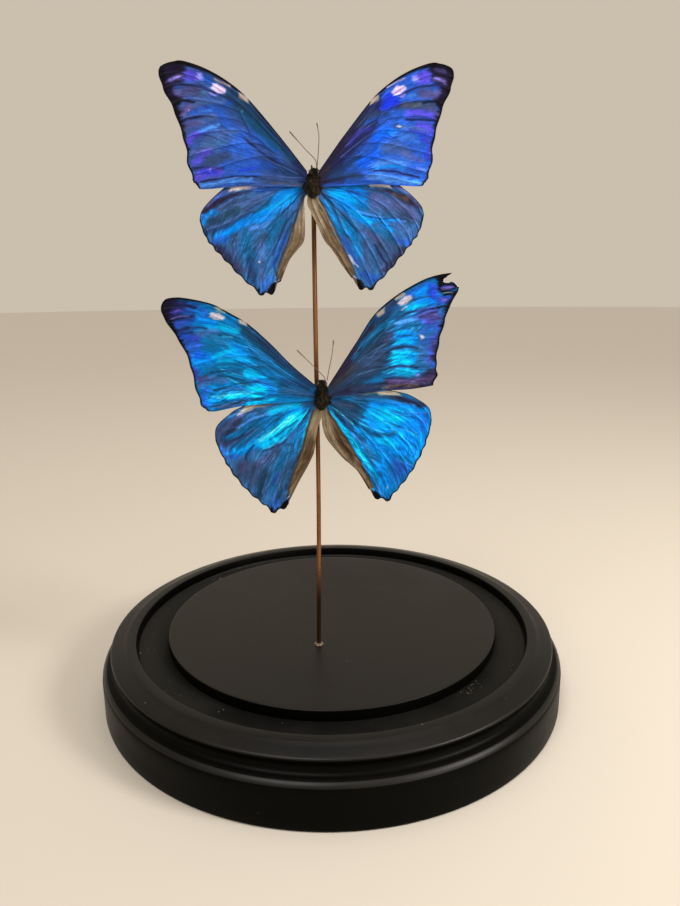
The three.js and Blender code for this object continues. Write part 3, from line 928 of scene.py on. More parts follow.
UPPER_HIND_RIGHT = marks("""
fill slate 1.2 0.85 12,-1 29,-6 28.6,-12 14,-5
fill haze 1.1 0.7 14.6,-2.4 21,-4 22.4,-7.4 15,-7.2
mauve 0.9 0.3 16,-3.4 19,-4.2 21,-5.4
mauve 1.1 0.4 22.6,-6 26,-7.4 27.6,-9.2
haze 0.18 0.7 21,-7.6 25,-9.4 27.8,-10.8
fill dusk 0.6 0.95 16.4,-1.5 21,-1.8 26.6,-4 29.6,-7.4 26,-6 21.6,-3.4
bark 0.6 0.5 22,-3 25.4,-4.6
mauve 0.4 0.7 22,-1.2 24.6,-2 27,-3.8
fill azure 1.1 1 4,-1.4 9,-0.6 13,-0.6 14.4,-2.4 14,-6.6 9,-6 4.4,-3.4
cyan 0.8 0.6 5,-2.2 8,-3.2 11,-4.6
deep_blue 0.5 0.6 9.6,-2 12,-2.4 15,-3
teal 0.9 0.5 12,-3.6 13.6,-6 11,-6
azure 1.3 1 7.4,-5 11,-7.6 15,-9.8
cyan 0.4 0.5 9.6,-6.8 12.6,-8.6 15.6,-10.2
sky 0.22 0.9 11.6,-7.2 16,-8.4 20.6,-9.4 24.6,-10.2
azure 0.5 0.8 14,-9 19,-9.6 23,-10.4
navy 0.2 0.8 13,-8.2 17.6,-9.2 22.6,-9.4
azure 0.8 0.8 18.6,-10.8 20.6,-12.4
teal 1 0.7 15.8,-12 18.6,-13 21,-14.6
haze 1.3 0.6 22.6,-11.4 24.6,-12.4 27,-13.4
royal 0.9 0.85 22.4,-15 24.4,-16 25.8,-16.6
haze 0.14 0.8 20,-12.6 23,-14.6 25.6,-15
slate 1.1 0.8 13.4,-12 15.6,-13.6 17,-15.6
mauve 0.8 0.35 14,-12.6 15.6,-14 16.4,-15.6
slate 0.9 0.6 13.8,-15.4 13.8,-19.6 14,-23
haze 0.5 0.5 14.4,-15.4 14.4,-19.6 14.4,-23
fill slate 1.4 0.7 16.4,-15 22,-15 24,-18 19,-23 16.4,-22
midnight 0.4 0.7 16,-16 17.6,-19 19.4,-21.6
dusk 1 0.7 24,-17.8 21,-20.8 18,-23.4
haze 0.5 0.5 16.6,-23.6 18.4,-21.6
deep_blue 1.2 0.8 12.6,-23.6 14.6,-25 16.4,-25.6
lagoon 1.3 0.8 8.6,-10 10.4,-13.4 11.4,-18
azure 0.5 0.4 9,-12 10.6,-15
teal 1.2 0.7 3.6,-4.4 5.2,-8 7.4,-12.4
lagoon 0.7 0.8 3.2,-4 4.8,-8 6.8,-12.4
sky 0.14 0.6 1.8,-2.6 3.6,-5 6,-9.4
navy 0.25 0.9 2.2,-2.4 5.4,-5.6 8.6,-9 11.4,-12.4
deep_blue 0.8 0.7 7.2,-14 8.8,-17 11,-21
milk 0.4 0.75 8.8,-18.6 10,-20.6
milk 0.18 0.8 10.6,-21 11.1,-21.6
fill chalk 0.35 0.9 15,0 15.4,-0.9 19.6,-1.3 21,-1.5 20.4,0
fill bark 0.45 0.97 0,-1.6 2,-4.6 4,-9 6.2,-14.4 8.4,-19 10.3,-23.4 9,-25 4,-23 -3,-12 -5,-3
fill sand 0.9 0.6 -3,-2 1.2,-3.6 3.2,-8.6 2,-12 -3,-8
fill parchment 0.9 0.2 -3,-1.6 0.8,-3.2 1.6,-6.6 -0.4,-8.4 -3,-6
dark_bark 0.45 0.4 1.2,-6 3.6,-12.4 6,-17
dark_bark 0.22 0.8 1.4,-3.6 4.2,-9 6.5,-14.4 8.6,-19 10.4,-23.4
dark_bark 0.6 0.8 8.4,-22 9.6,-24.2
""")
TAIL_SPOTS = {
    "upper": marks("""
fill soot 0.25 1 10.2,-24.6 11.8,-25.2 12.7,-26.8 12.4,-28.6 10.4,-28
soot 0.6 1 13.6,-27.9 14.6,-27.9 15.4,-27.2
milk 0.16 0.8 9.6,-24 10.6,-24.5
"""),
    "lower": marks("""
fill soot 0.25 1 10,-29.4 11.6,-30 12.8,-31.6 12,-33 10,-32
soot 0.75 1 13.8,-33 14.7,-33.1 15.4,-32.5
milk 0.14 0.8 9.6,-28.5 10.6,-29
"""),
}
print("upper hindwings:", len(UPPER_HIND_LEFT) + len(UPPER_HIND_RIGHT), "strokes")

# %% [markdown]
# ## The lower butterfly's colours
# The lower one is a little larger and greener blue: its wings catch the light as crinkled foil,
# with cyan rays on dark teal. The cyan rays and the thin ice-blue lines are painted highlights of
# the crinkles, and the thin navy lines beside them painted shade. Its left wings are painted bright
# up to the leading edge, while the right forewing is painted dark over its inner half, where its
# blue does not catch the light.

# %% Lower forewings
LOWER_FORE_LEFT = marks("""
fill deep_teal 1.5 0.9 1,2.5 10,12 21,21.6 24,20 17,13.4 9,6
fill navy 1 0.9 0,2 8,9.5 19.6,20.6 18,17 10,8.6 3,3
teal 1.3 0.8 9,6.6 14,9.4 18.6,13.6 23,17.4
slate 1.3 0.7 3,1 8,2 13,3
navy 1 0.8 4,3 8,4.4 11,4.6
teal 1.6 0.9 12,3.6 15,6 17,9
azure 1.2 0.5 13.6,2.4 16.4,4.6 16,7
sky 0.3 0.4 16.6,12.8 19,14 21,14.4
cyan 0.25 0.3 17.6,13.6 20.6,15.6 22.4,17.4
cyan 0.2 0.3 19.6,14.6 22,16.4 24.4,17.2
fill azure 0.9 0.9 20.4,10.6 20.6,12.4 22.6,15 25,14.4 26,12 24,10
teal 1.2 0.9 23.4,17.4 26,17.8 29,18.4
cyan 0.95 1 23.2,19 27,19.7 30.6,20.1
azure 0.9 0.9 29,20.6 32.4,21.6 35,22.8
ice 0.3 0.4 24.4,17.1 26.8,17.3
steel 1 0.4 26,15.4 29.4,16.8 32.6,18
cyan 0.8 0.55 20.8,11 23.4,13 25.6,14.6
haze 0.9 0.7 28.6,18.6 31.4,18.8 33.6,17.6
teal 0.9 0.7 26.6,14.2 30,14.8 33.6,15.6
cyan 0.16 0.35 26,13.8 30,15.6 32.6,16.4
cyan 0.5 1 24.4,13.6 27,12.8 29.9,11.7
teal 1.5 0.7 23.4,9.2 26.6,9.6 30,8.6
cyan 0.8 0.7 22.6,10.8 25.4,11 28,10.8
azure 1.7 0.8 31,11.4 33,11.4 34.6,10.4
ultra 0.8 0.35 31.6,12.6 34,12.2
ultra 0.7 0.4 33.6,13.6 35.6,11.6
royal 1.1 0.9 33.4,14.8 35.6,14 36.4,12
indigo 1.4 0.7 34,16.8 36.4,16.6 37.6,15.4
midnight 1 0.8 35,18.8 37.4,18.6 39,17.6
ultra 0.7 0.5 35.4,17.2 37,17.4 38,16.6
royal 1.2 0.9 31.6,23.4 33.8,24.6 36,25.2
azure 0.6 0.8 32,23.4 34.4,24.8
deep_blue 1.1 0.8 35,22.4 38,21.2 39.4,20.6
violet 0.6 0.8 37.4,21.2 39,20.6
navy 0.3 0.8 31,19.6 35,19.8 39.4,18.8
mauve 0.14 0.8 35,19.4 38,19 40,18
fill deep_blue 1.2 0.6 33.6,26 34.6,21 35,16 39,15 42,22 41,27
midnight 0.4 0.85 33.6,25 36.4,25.6 39,25.4
midnight 0.5 0.8 34.4,22.8 37.6,22.6 41,21.4
midnight 0.5 0.8 36,19.8 38.4,19.2 40,18.4
fill midnight 1.3 0.95 36,26.8 36.6,24.4 38,22.4 41.6,21.4 43,24 42,28
fill ink 1.2 0.95 38.4,28 39.4,25.4 40.4,22.4 44,22 44,28.5
indigo 0.6 0.7 37.6,24.2 39.4,24
mauve 0.3 0.6 38.2,24.4 38.9,24.2
mauve 0.14 0.9 35.4,23 38.4,22.8 41.4,21.6
soot 0.75 0.95 42.4,23.6 40,19.4 38.6,16.4 37.4,13.6
ink 0.6 0.7 37,13 36.2,10.6 35.4,8
indigo 0.7 0.8 34.6,8.6 34,6.6 33,5
haze 1.3 0.8 27.6,5.6 30.4,6 33,4.6
plum 0.6 0.7 31.6,6.6 33.6,6
teal 1.1 0.9 20.4,4.4 24,5.8 28,7.4
ice 0.17 0.5 21.2,7.2 24.6,7.8 27.6,8.6
cyan 0.17 0.5 22,6 25,6.9 27,7.7
ice 0.15 0.45 20.4,4 23,4.6 26.4,6.2
cyan 0.15 0.45 21.4,8.6 24.6,9.4 28.4,9.2
navy 0.35 0.8 21,2.6 25,3.3 30,2.9
navy 0.22 0.8 22,7.1 26,8.2 30.6,7.6
navy 0.2 0.7 21.6,5.3 25,6.3 28.4,6.9
fill cyan 0.7 1 16.4,6.6 18.4,8 20.6,9 21.8,7.6 21,6.2 18.4,6
fill cyan 0.8 0.95 15.4,3 17,4.6 20.4,3.8 21.4,2.6 19,2 16.6,2
royal 0.7 0.5 15,3.8 18.6,5.6
sky 0.22 0.4 20.6,2.9 24.4,3.2 28.4,2.4
ice 0.6 0.8 20,1.4 25,1.2 30.6,0.8
cyan 0.45 0.9 17.6,1 22,1.1 27,0.6
azure 0.9 0.9 29.6,0.4 32,-0.8 33,1
royal 1 0.8 32.4,2.8 33.4,1 32.6,-1.4
cyan 0.5 0.9 13.4,0.2 17,-0.8 21,-1.2
teal 0.4 0.8 12.6,1 16,0.4 19.6,-0.1
slate 0.8 0.85 22,-0.7 26,-1.2 30,-1.9
plum 0.4 0.5 24,-1.6 28,-2.2
ice 0.13 0.35 18,9.4 22,11.4 26,12.2
ice 0.13 0.35 16,5 20,6.2 25,7.4
navy 0.16 0.7 16,7 19,8.8 24,11
navy 0.16 0.7 15,4.4 19,5 24,4.4
sky 0.12 0.4 8,6 13,9.6 18,14 22,17.6
sky 0.12 0.4 7,4 12,6.6 17,10.4
ice 0.13 0.35 17,1.8 22,2.4 28,2
fill milk 0.3 1 26,22.6 26.6,21.9 28.6,21.8 30.2,22.8 29.6,23.9 27.4,23.7
parchment 0.35 0.6 26,23.8 28.2,24.4
""")
LOWER_FORE_RIGHT = marks("""
fill marine 1.5 0.7 19,4 19,26 28,31 34,24 33,8 32,4
fill deep_teal 1.8 0.95 1,2 12,19 18,24 19.6,20 19,8 10,2
fill slate 1.8 0.75 4,3 10,11 17,17 18.6,12 16,7
fill dusk 0.9 0.9 0,2 7,12 14.6,22 14.4,19 8,9.6 3,3
dusk 1.2 0.7 0.6,0.6 4,1.6 8,2.4
dusk 1.1 0.7 5.6,6.4 7.6,9.4 8.6,12
dark_bark 1.2 0.4 3,3 6,6 9,8.6
teal 0.5 0.8 8.6,11 9.8,12.2
teal 0.9 0.8 11,14.4 14,17.6 18.6,21
cyan 0.15 0.35 11,14.6 14,17 19,20.4
cyan 0.13 0.35 14.4,15.4 17,18 19.6,20.6
steel 0.13 0.8 10,10 13.6,12.6 18,14.8
steel 0.13 0.8 9.4,6.2 14,7.6 18.6,8.4
steel 0.12 0.7 9,12 12,15.6 15.6,18.8
plum 0.9 0.6 18,15.8 19.6,17.6
navy 1.2 0.8 15,21.6 18,23.6 20.6,26
plum 0.6 0.5 16.6,24.4 19.4,26
teal 0.7 0.8 19.4,21 21,23 23.2,23.6
cyan 0.16 0.4 18.6,20.6 22,22 26,23
royal 0.9 0.9 23.6,27.6 26,28.8 28,30.4
fill azure 0.8 1 24.4,27.8 26.4,29.2 28.8,30.8 29,28 26.4,26.6
fill ultra 0.9 0.7 29,31 29.4,25.4 31.4,24.6 31.8,30
fill violet 0.8 0.4 29.6,31 30.4,28 31.8,27 31.8,30
cyan 0.85 0.95 23.6,24.2 26,25.1 28.6,26
azure 0.9 0.9 26.8,26 29.4,26.6 31,25.4
navy 0.2 0.7 25.6,26.4 28,27.2 30.4,27.5
navy 0.4 0.9 20.4,21.4 25,23.4 31,24.2
fill indigo 1 0.6 25.6,21.8 28,24 33,24.6 33.6,21 30,20
fill plum 1 0.6 26.6,22 28.6,23.6 32.6,24 33.2,21 30,20.6
violet 0.9 0.5 29.4,20.4 31.6,19.6 33,19.4
lilac 0.45 0.4 31.6,22.4
sky 0.4 0.95 20.4,20.2 23.6,21 26.8,21.6
teal 0.8 0.8 21,19 24,19.6 27.6,20
royal 1.1 0.7 28,18.4 30.6,19 33,18.6
ice 0.14 0.45 24,17.6 25.6,19.2
ice 0.14 0.45 25.6,17.6 27.4,19.4
sky 0.14 0.45 27.2,17.8 29.2,19.4
fill azure 0.8 0.95 20.4,16.4 20.8,18.2 24,19 26.6,17.6 27,15 25,14.2 21,14.8
cyan 0.7 0.9 21,15.2 23,15.6 24.8,15.2
cyan 0.35 0.7 21.6,18 23.6,18.4
teal 0.25 0.8 21,16.9 24,17 27,16.6
navy 0.4 0.9 18,12.8 21.4,13.5 24.6,14 27,13.4
fill cyan 0.9 1 19,11 20,12.6 24,13.2 26.6,12.2 27,10 25,8.8 20.6,9
azure 0.9 0.7 24,11.8 26.4,10.4
navy 0.35 0.9 19,8.2 22.4,8.6 26.4,7.8
fill cyan 0.7 0.85 18.4,6.8 20,7.6 24,7.8 26.8,7 26,5.8 21,5.8
ice 0.13 0.45 17.2,6.8 19.6,8
ice 0.13 0.45 18.6,6.6 21,7.8
lilac 0.3 0.7 26.4,5.8 27.4,6.2
fill marine 1 0.85 27,16 30,16.4 29.6,9 27,8 26.6,12
royal 0.7 0.6 27.6,14.8 29.4,15.2
fill indigo 1 0.6 30,17 33,17.6 32.4,10 31.6,8 29.6,9
plum 0.7 0.7 31,14.8 31.8,11.6 30.6,9.6
royal 0.6 0.8 31,9.6 31.4,8.4
fill dusk 0.9 0.95 17,5.4 27,5 30,7.6 32.6,7.6 32,1.6 18,1
dusk 0.3 0.7 16,3.8 22,4 29,4.2
plum 0.9 0.7 19,4 24,4.2 31,5
mauve 0.2 0.5 17,4.7 22,4.6 26,4.2
bark 0.5 0.5 16,2.6 22,3 27,3
fill dusk 1 0.8 2,0.4 9,3.4 17,4 17,1 8,0
slate 0.5 0.6 8,2.4 13,3 17,3.4
fill soot 0.6 1 30,33.4 31.6,31.6 32,30.4 33.6,31.4 35.6,31.2 38,31 38,35
fill soot 0.6 0.95 31.6,31.4 32,29 33.4,28.2 37,29.2 38.4,31
violet 0.5 0.75 33.4,29.8 35.6,29.9
mauve 0.4 0.7 33,29.5 36,30
fill soot 0.4 0.9 33.4,28.2 33.6,27.6 37,28 37.6,28.9
milk 0.1 0.75 33.4,28.3 35,28.4 37,28.2
fill indigo 0.6 0.8 32.2,27.6 32,25.4 35.4,25.4 36,27.4
mauve 0.35 0.7 33,26.6 34.6,26.4
ink 1 0.7 36.6,27.6 35,23.6 33.9,19 32.8,14.6 32,10
soot 0.55 0.95 37.2,28.2 36,25.8 35.2,24 34.6,21.6 33.8,18.4
soot 0.3 0.85 32,24.4 34,24.8 35.6,24.6
fill milk 0.3 1 20.8,25.8 21.6,25 23.4,25.4 24.8,26.8 24.2,27.6 22.8,27.4
parchment 0.35 0.75 20.6,26.8 22.6,28
milk 0.2 0.8 22,23.8 23.4,24.7
milk 0.42 0.95 27.6,16.9 28.1,16.3
""")
print("lower forewings:", len(LOWER_FORE_LEFT) + len(LOWER_FORE_RIGHT), "strokes")

# %% Lower hindwings
LOWER_HIND_LEFT = marks("""
fill teal 1.4 0.95 3,-2 20,-5 26,-9 27,-16 18,-14 9,-10
fill slate 1.2 0.8 22,-4.6 30,-8 30,-14 24,-12
plum 0.7 0.35 22.6,-5.2 25.6,-6.8 28.6,-9
navy 0.9 0.8 20,-8.6 23.6,-11 27.6,-12.4
haze 0.2 0.8 15.6,-5.8 19,-7.8 22,-9.8
haze 0.2 0.8 16.4,-7.4 19.4,-9.2 21.6,-10.8
lagoon 0.65 0.8 21.4,-8.4 25,-10 27.4,-10.8
plum 0.6 0.5 25,-12 27.6,-13
azure 1.4 0.9 7,-3.4 12,-5 16,-6.4
teal 0.9 0.9 11.6,-5 15,-6.2 18.4,-7.6
cyan 1 1 7,-1.9 11,-2.6 15,-3.8
ice 0.3 0.35 9,-2 13,-3 17,-4.6
sky 0.35 0.8 15,-4 20,-5.6 24,-8
teal 0.2 0.8 8,-3.4 12.6,-4.4 16.6,-5.2
fill azure 0.8 0.9 4,-3 9,-4 16,-9.6 20,-12.6 19,-14 13,-13 9,-10
fill cyan 0.8 0.85 5,-4 9,-4.8 16,-9.8 19.4,-13 17,-14 12,-12.4 8,-9.2
cyan 1.3 1 6.4,-4.6 10,-6.4 13.6,-9
cyan 0.9 1 12,-8.6 16,-10.8 19.4,-12.8
ice 0.6 0.8 8.6,-5.4 12,-8 16,-10.6 18.6,-12.2
cyan 0.6 0.9 8,-7.6 11.6,-10.4 15.6,-12.6
teal 0.3 0.8 7.4,-6.6 11,-9 15,-11.6
ice 0.2 0.45 4,-3 6.4,-6.4 9.4,-10 13,-12.8 17,-14
navy 0.3 0.9 3.6,-3.4 6,-7 9,-10.6 13,-13.6 17,-14.8
azure 1.1 0.8 19,-12.6 22,-14.4 25,-15.2
cyan 0.4 0.5 19,-12.4 22,-14 25,-15
sky 0.18 0.45 17,-9.4 20.6,-12 22.4,-14.6
navy 0.3 0.8 19.6,-13 21.6,-15.6 22,-17
ice 0.22 0.45 17.4,-14.6 19.2,-17.4
sky 0.18 0.4 19.4,-14 20.2,-17
royal 0.8 0.7 24.6,-16.4 27.6,-15.8 28.4,-14.4
cyan 0.3 0.3 26,-15.4 28.2,-15.6
marine 1.4 0.8 6.4,-8.6 8.6,-11.4 10,-14
lagoon 0.9 0.7 5.2,-7 7.2,-10.4 8.2,-13
teal 1.8 0.8 9,-14 11,-17 13,-22 14,-27
slate 1.6 0.8 13.4,-15 16.6,-18 19.6,-20
mauve 0.9 0.35 16,-17 18.6,-18.6
fill slate 1.5 0.85 20,-17.6 25,-17.6 26,-21 21,-26 18,-24
plum 0.9 0.4 22,-18.4 23,-20.6
slate 1.2 0.5 10,-19 12,-24 13,-28
deep_teal 1.5 0.8 16.4,-21.6 18,-25 18.6,-28
steel 0.25 0.8 13.6,-15.6 15.4,-20.6 17.6,-27
haze 0.3 0.8 12,-20.6 13.6,-25.6 14.6,-29.6
steel 0.2 0.8 9.4,-13 10.6,-18 13,-26
indigo 0.6 0.4 13,-21.6 14,-24
sky 0.2 0.35 21.4,-25.3 23.4,-25.8
royal 1 0.6 13.6,-29.6 14.4,-32 15,-31
sky 0.3 0.4 12,-31.6 13.2,-32.4
teal 0.9 0.8 4.4,-7.4 5.6,-11.6 7.2,-16
cyan 0.35 0.7 3.6,-5 5,-9 6,-13
deep_teal 0.8 0.7 7.4,-16.6 9,-21 10.6,-26
fill parchment 0.35 0.9 14.6,-0.2 17,-2 21,-3 24,-4.2 21,-1.2
milk 0.3 0.8 19.4,-2.8 22,-3.6 24,-4.4
sand 0.6 0.7 10,-0.4 13,-0.8 16.4,-1.6
mauve 0.4 0.35 22,-4.2 25,-5.6 27,-7
fill bark 0.45 0.97 1.4,-1.4 3.4,-6 4.6,-10 5.8,-14 7.6,-19 9.4,-24 10.4,-28.4 9,-29 4,-26 -2,-16 -2,-4
fill sand 0.9 0.5 -1,-2 2.6,-4 3.8,-9 2.6,-12 -1,-10
fill dark_bark 1.1 0.7 2.6,-12 4.4,-11.6 7,-19 9.4,-26 6.4,-22 3,-16
dark_bark 0.3 0.9 2.6,-3.6 4.4,-8.6 5.7,-13.6 7.6,-19 9.4,-24 10.6,-28.6
""")
LOWER_HIND_RIGHT = marks("""
fill azure 1.4 1 10,-3.4 20,-4.6 29,-7 29.6,-13 26,-20 18,-20 13,-14
fill deep_teal 1.4 0.9 1,-1.4 11,-1.4 12.6,-3.4 11,-8 7,-9.4 3,-6
slate 1 0.7 4,-1.8 7,-3.2 9.6,-3
teal 1 0.7 8,-1.6 11.6,-3.6 10.4,-7
teal 0.16 0.8 10,-3.4 12,-5.4
fill dusk 0.7 0.9 18,-2.4 22,-2.6 29.8,-7 28.4,-7.6 22,-4.8
slate 0.6 0.8 10,-1.5 15,-2 20,-3.4
sky 0.28 0.45 14.4,-3.4 20,-4.5 26,-6.4
fill cyan 1.3 0.95 14,-5.4 18,-6 23,-7.6 24,-9 20,-11 16,-9
cyan 1 0.6 12.4,-6.6 15.6,-9.4 19,-10.4
royal 0.25 0.7 19,-7 24,-8.6 29.4,-9.4
deep_blue 0.2 0.7 21,-8.4 25,-9.8 28.6,-11.8
sky 0.2 0.4 23,-7.6 27,-8.8 29.4,-9
teal 0.3 0.9 16.6,-9.4 20,-11.4 25.4,-14.8
sky 0.22 0.4 20.6,-12.2 23,-13.6 25.2,-14.9
teal 0.7 0.9 13,-12.6 16.6,-13.6 19.4,-13.4
teal 0.4 0.9 8.6,-9.6 12,-12 14.6,-14
ice 0.25 0.5 9.6,-8.8 13,-11.2 16,-12.6
cyan 0.3 0.45 10.8,-8 14,-10.2 17,-12
ice 0.25 0.4 18.4,-12 19.6,-13.6
cyan 1.1 0.95 14,-15 17,-15.6 19,-17
fill lagoon 1.4 0.9 6,-9.6 11,-13 13,-20 13,-28 11,-25 8,-16
marine 0.9 0.7 8.6,-13 11,-17 12.4,-22
azure 0.9 0.7 12,-15 14.6,-18 15.6,-22
azure 1.1 0.7 13.6,-22 14.6,-25.4 15.4,-28.6
azure 1.3 0.8 20,-18 23,-20 24.4,-21.6
fill deep_blue 1.3 0.75 17.4,-20.6 20.6,-22.6 23.6,-24.4 20,-28 17,-25
indigo 0.9 0.2 18.4,-23 20.6,-25
sky 0.25 0.4 19,-21.6 21,-23 23.2,-23.8
royal 1 0.5 17,-26 18.4,-28.4
deep_blue 0.14 0.8 22,-15.4 22.6,-18.6 21.8,-21
deep_blue 0.14 0.8 24,-16.4 24.4,-19.4 23.6,-21.4
haze 0.8 0.4 7,-11 7.6,-13.6
royal 1 0.6 27,-13.6 28.4,-10.6
fill navy 0.5 0.85 2,-4 4,-5.4 7.6,-9.6 8,-12 6,-10
ice 0.22 0.5 2.4,-3 5,-5.8 7.6,-9
cyan 0.5 1 1.6,-4.4 3.8,-8 5.8,-12
cyan 0.7 0.95 5,-10 7,-14 9,-18.4
cyan 0.6 1 8,-16.6 10,-21 11.8,-25
ice 0.3 0.35 8.4,-18 10.4,-22.4
teal 0.5 0.7 11,-24 12.4,-28
sky 0.5 0.6 12,-28 13.6,-31.4
azure 0.8 0.6 14,-29 15,-31.6
milk 0.28 0.8 14.9,-29.1 15,-29.4
fill parchment 0.4 0.95 15.4,-0.4 16,-1.6 20,-2.5 22.4,-2.9 21,-0.6
sand 0.4 0.7 7,-0.4 12,-0.6 15.6,-0.9
fill bark 0.4 0.97 -1,-1 1.6,-4.4 3.6,-9 5.6,-14.4 7.6,-19 9.6,-24.4 10.8,-28.6 9,-29 4,-27 -4,-14 -4,-4
fill sand 0.8 0.5 -3,-1 0.4,-3.4 1.8,-9 0.4,-11 -3,-8
fill dark_bark 0.8 0.85 2,-8 3.4,-9.6 6.6,-17.6 6,-19.6 2.4,-14
dark_bark 0.35 0.9 1.2,-4.4 3.5,-9.6 5.7,-14.8 7.6,-19.4 9.6,-24.6 11,-28.8
dark_bark 0.6 0.8 8.8,-26 10,-29
""")
print("lower hindwings:", len(LOWER_HIND_LEFT) + len(LOWER_HIND_RIGHT), "strokes")

# %% Dark line and bare spots of the leading edge
COSTA_MARKS = {
    "upper_forewing_left": marks("""
soot 0.42 0.9 19,22.6 21.6,24.3 24.5,25.9 28,27.2 31,28
fill cream 0.25 0.95 16.1,20.6 16.1,19.2 18.4,20.5 18.4,21.8
cream 0.26 0.85 20.6,23.1 22.4,23.9 24.2,24.7
"""),
    "upper_forewing_right": marks("""
soot 0.36 0.9 18.6,22.3 21.4,24.2 24.5,25.9 28,27.3 31,28.1
fill cream 0.25 0.95 15.8,20.3 15.8,19 18.1,20.3 18.1,21.6
pearl 0.2 0.8 20.4,23.2 22.6,24.3 25,25.3
"""),
    "lower_forewing_left": marks("""
fill cream 0.3 0.95 19.9,21.6 20.2,20.2 22.2,20.9 22.4,22
sand 0.3 0.8 23.4,23.3 25.6,24.4 28.4,25
"""),
    "lower_forewing_right": marks("""
fill cream 0.3 0.95 15,23 15.6,22 17.4,23.2 17.4,24.6
fill cream 0.25 0.7 20,26.9 20.4,26.4 22.8,28 22.4,28.6
"""),
}
print("bare spots on", len(COSTA_MARKS), "forewings")

# %% [markdown]
# ## Undersides
# The undersides face the wall and are hidden, so they follow the usual pattern of this kind of
# butterfly: dull brown with pale bands and a row of ringed eye spots. They could be left plain,
# but the piece is seen from behind in other views.

# %% Underside pattern
def eye_spots(*spots):
    """Ringed eye spots, each given as (size, x, z); the largest ring is laid first."""
    rings = (("dark_bark", 1), ("sand", 0.8), ("soot", 0.6), ("parchment", 0.16))
    return [
        ("stroke", colour, size * part, 1, [(x, z)]) for size, x, z in spots for colour, part in rings
    ]


UNDER_FORE = marks("""
sand 0.9 0.8 30,26 29,18 27,8 26,0
sand 0.5 0.7 35,26 32.4,18 30.6,8 29.6,1
parchment 0.6 0.7 14,17 17,12 18,5
dark_bark 0.7 0.6 10,12 13,8 14,4
""") + eye_spots((1.5, 28.4, 14), (1.2, 27.4, 8), (1.1, 29.6, 20))
UNDER_HIND = marks("""
sand 0.9 0.8 26,-3 25,-9 20,-17 13,-24
sand 0.5 0.7 28,-6 26,-13 20,-20.4 14,-26.4
parchment 0.6 0.7 12,0 13,-6 9,-14
rust 0.4 0.6 10,-22 11.6,-24
""") + eye_spots((1.6, 21, -6), (1.3, 19.4, -11), (1.3, 16.4, -15), (1.2, 12.8, -18.6))
print("underside strokes:", len(UNDER_FORE) + len(UNDER_HIND))

# %% [markdown]
# ## Veins
# Veins leave the root and fan out, some of them from a long closed cell. They are given on the
# fitted grid, as (share of the way out, share of the way across), so one set serves every wing.
# A separate tube for each vein would be the other way; a ridge in the membrane is nearer to a
# real vein, which is part of the sheet.

# %% Vein lines
FORE_VEINS = [
    [(0, 0.1), (0.4, 0.06), (0.7, 0.03), (0.9, 0)],
    [(0, 0.2), (0.3, 0.15), (0.52, 0.13), (0.8, 0.1), (1, 0.08)],
    [(0.52, 0.13), (0.75, 0.17), (1, 0.18)],
    [(0.52, 0.13), (0.54, 0.22), (0.52, 0.32), (0.48, 0.4)],
    [(0.54, 0.22), (0.76, 0.28), (1, 0.31)],
    [(0.52, 0.32), (0.76, 0.4), (1, 0.45)],
    [(0, 0.45), (0.25, 0.44), (0.48, 0.4), (0.74, 0.52), (1, 0.59)],
    [(0.36, 0.42), (0.6, 0.58), (0.8, 0.68), (1, 0.73)],
    [(0.2, 0.44), (0.5, 0.68), (0.75, 0.82), (1, 0.88)],
    [(0, 0.75), (0.4, 0.86), (0.8, 0.96), (1, 0.985)],
]
HIND_VEINS = [
    [(0, 0.05), (0.3, 0.06), (0.7, 0.04), (1, 0.04)],
    [(0, 0.2), (0.2, 0.18), (0.5, 0.13), (1, 0.14)],
    [(0.22, 0.18), (0.5, 0.23), (1, 0.26)],
    [(0.22, 0.18), (0.44, 0.3), (0.7, 0.35), (1, 0.38)],
    [(0, 0.45), (0.2, 0.42), (0.42, 0.42), (0.7, 0.47), (1, 0.5)],
    [(0.3, 0.42), (0.55, 0.55), (1, 0.62)],
    [(0.16, 0.42), (0.45, 0.64), (1, 0.74)],
    [(0, 0.6), (0.3, 0.74), (0.7, 0.82), (1, 0.84)],
    [(0, 0.8), (0.4, 0.9), (1, 0.93)],
]


def between_cells(sheet, u, v):
    """Places on the fitted sheet for any shares, not only those of its corners."""
    i, j = np.clip(u, 0, 1) * ALONG, np.clip(v, 0, 1) * ACROSS
    i0, j0 = np.minimum(i.astype(int), ALONG - 1), np.minimum(j.astype(int), ACROSS - 1)
    fi, fj = (i - i0)[:, None], (j - j0)[:, None]
    low = sheet[i0, j0] * (1 - fi) + sheet[i0 + 1, j0] * fi
    high = sheet[i0, j0 + 1] * (1 - fi) + sheet[i0 + 1, j0 + 1] * fi
    return low * (1 - fj) + high * fj


def vein_nearness(sheet, veins, points, u):
    """Distance to the nearest vein, in shares of that vein's half width."""
    nearest = np.full(len(points), 1e9)
    for vein in veins:
        line = smooth_run(vein, 20)
        nearest = np.minimum(nearest, distance_to_line(points, between_cells(sheet, *line.T)))
    return nearest / (0.3 - 0.17 * u)


print(len(FORE_VEINS), "forewing veins,", len(HIND_VEINS), "hindwing veins")

# %% [markdown]
# ## Building a wing
# The wing starts as a plain square grid, is fitted between its four edges and set at its place,
# then its membrane gets its relief: raised veins, a soft pleat between each two of them, slow
# waves from drying and fine crinkles. Solidify gives the sheet its thickness and its underside.
# Sculpting would give such relief too, but not one that can be run again.

# %% Wing builder
YAW = math.radians(5)
UPPER_AT = (-3.2, -22.5, 153.4)
LOWER_AT = (-1.6, -22.5, 97.3)
FOREWING_DEPTH, HINDWING_DEPTH = 0.0, 0.8
FOREWING_MARGIN, HINDWING_MARGIN = 0.5, 0.38
MEMBRANE = 0.14
# tint of the painted highlight on the crests of the creases
CREST_HIGHLIGHT_TINT = np.array([0.03, 0.09, 0.14])


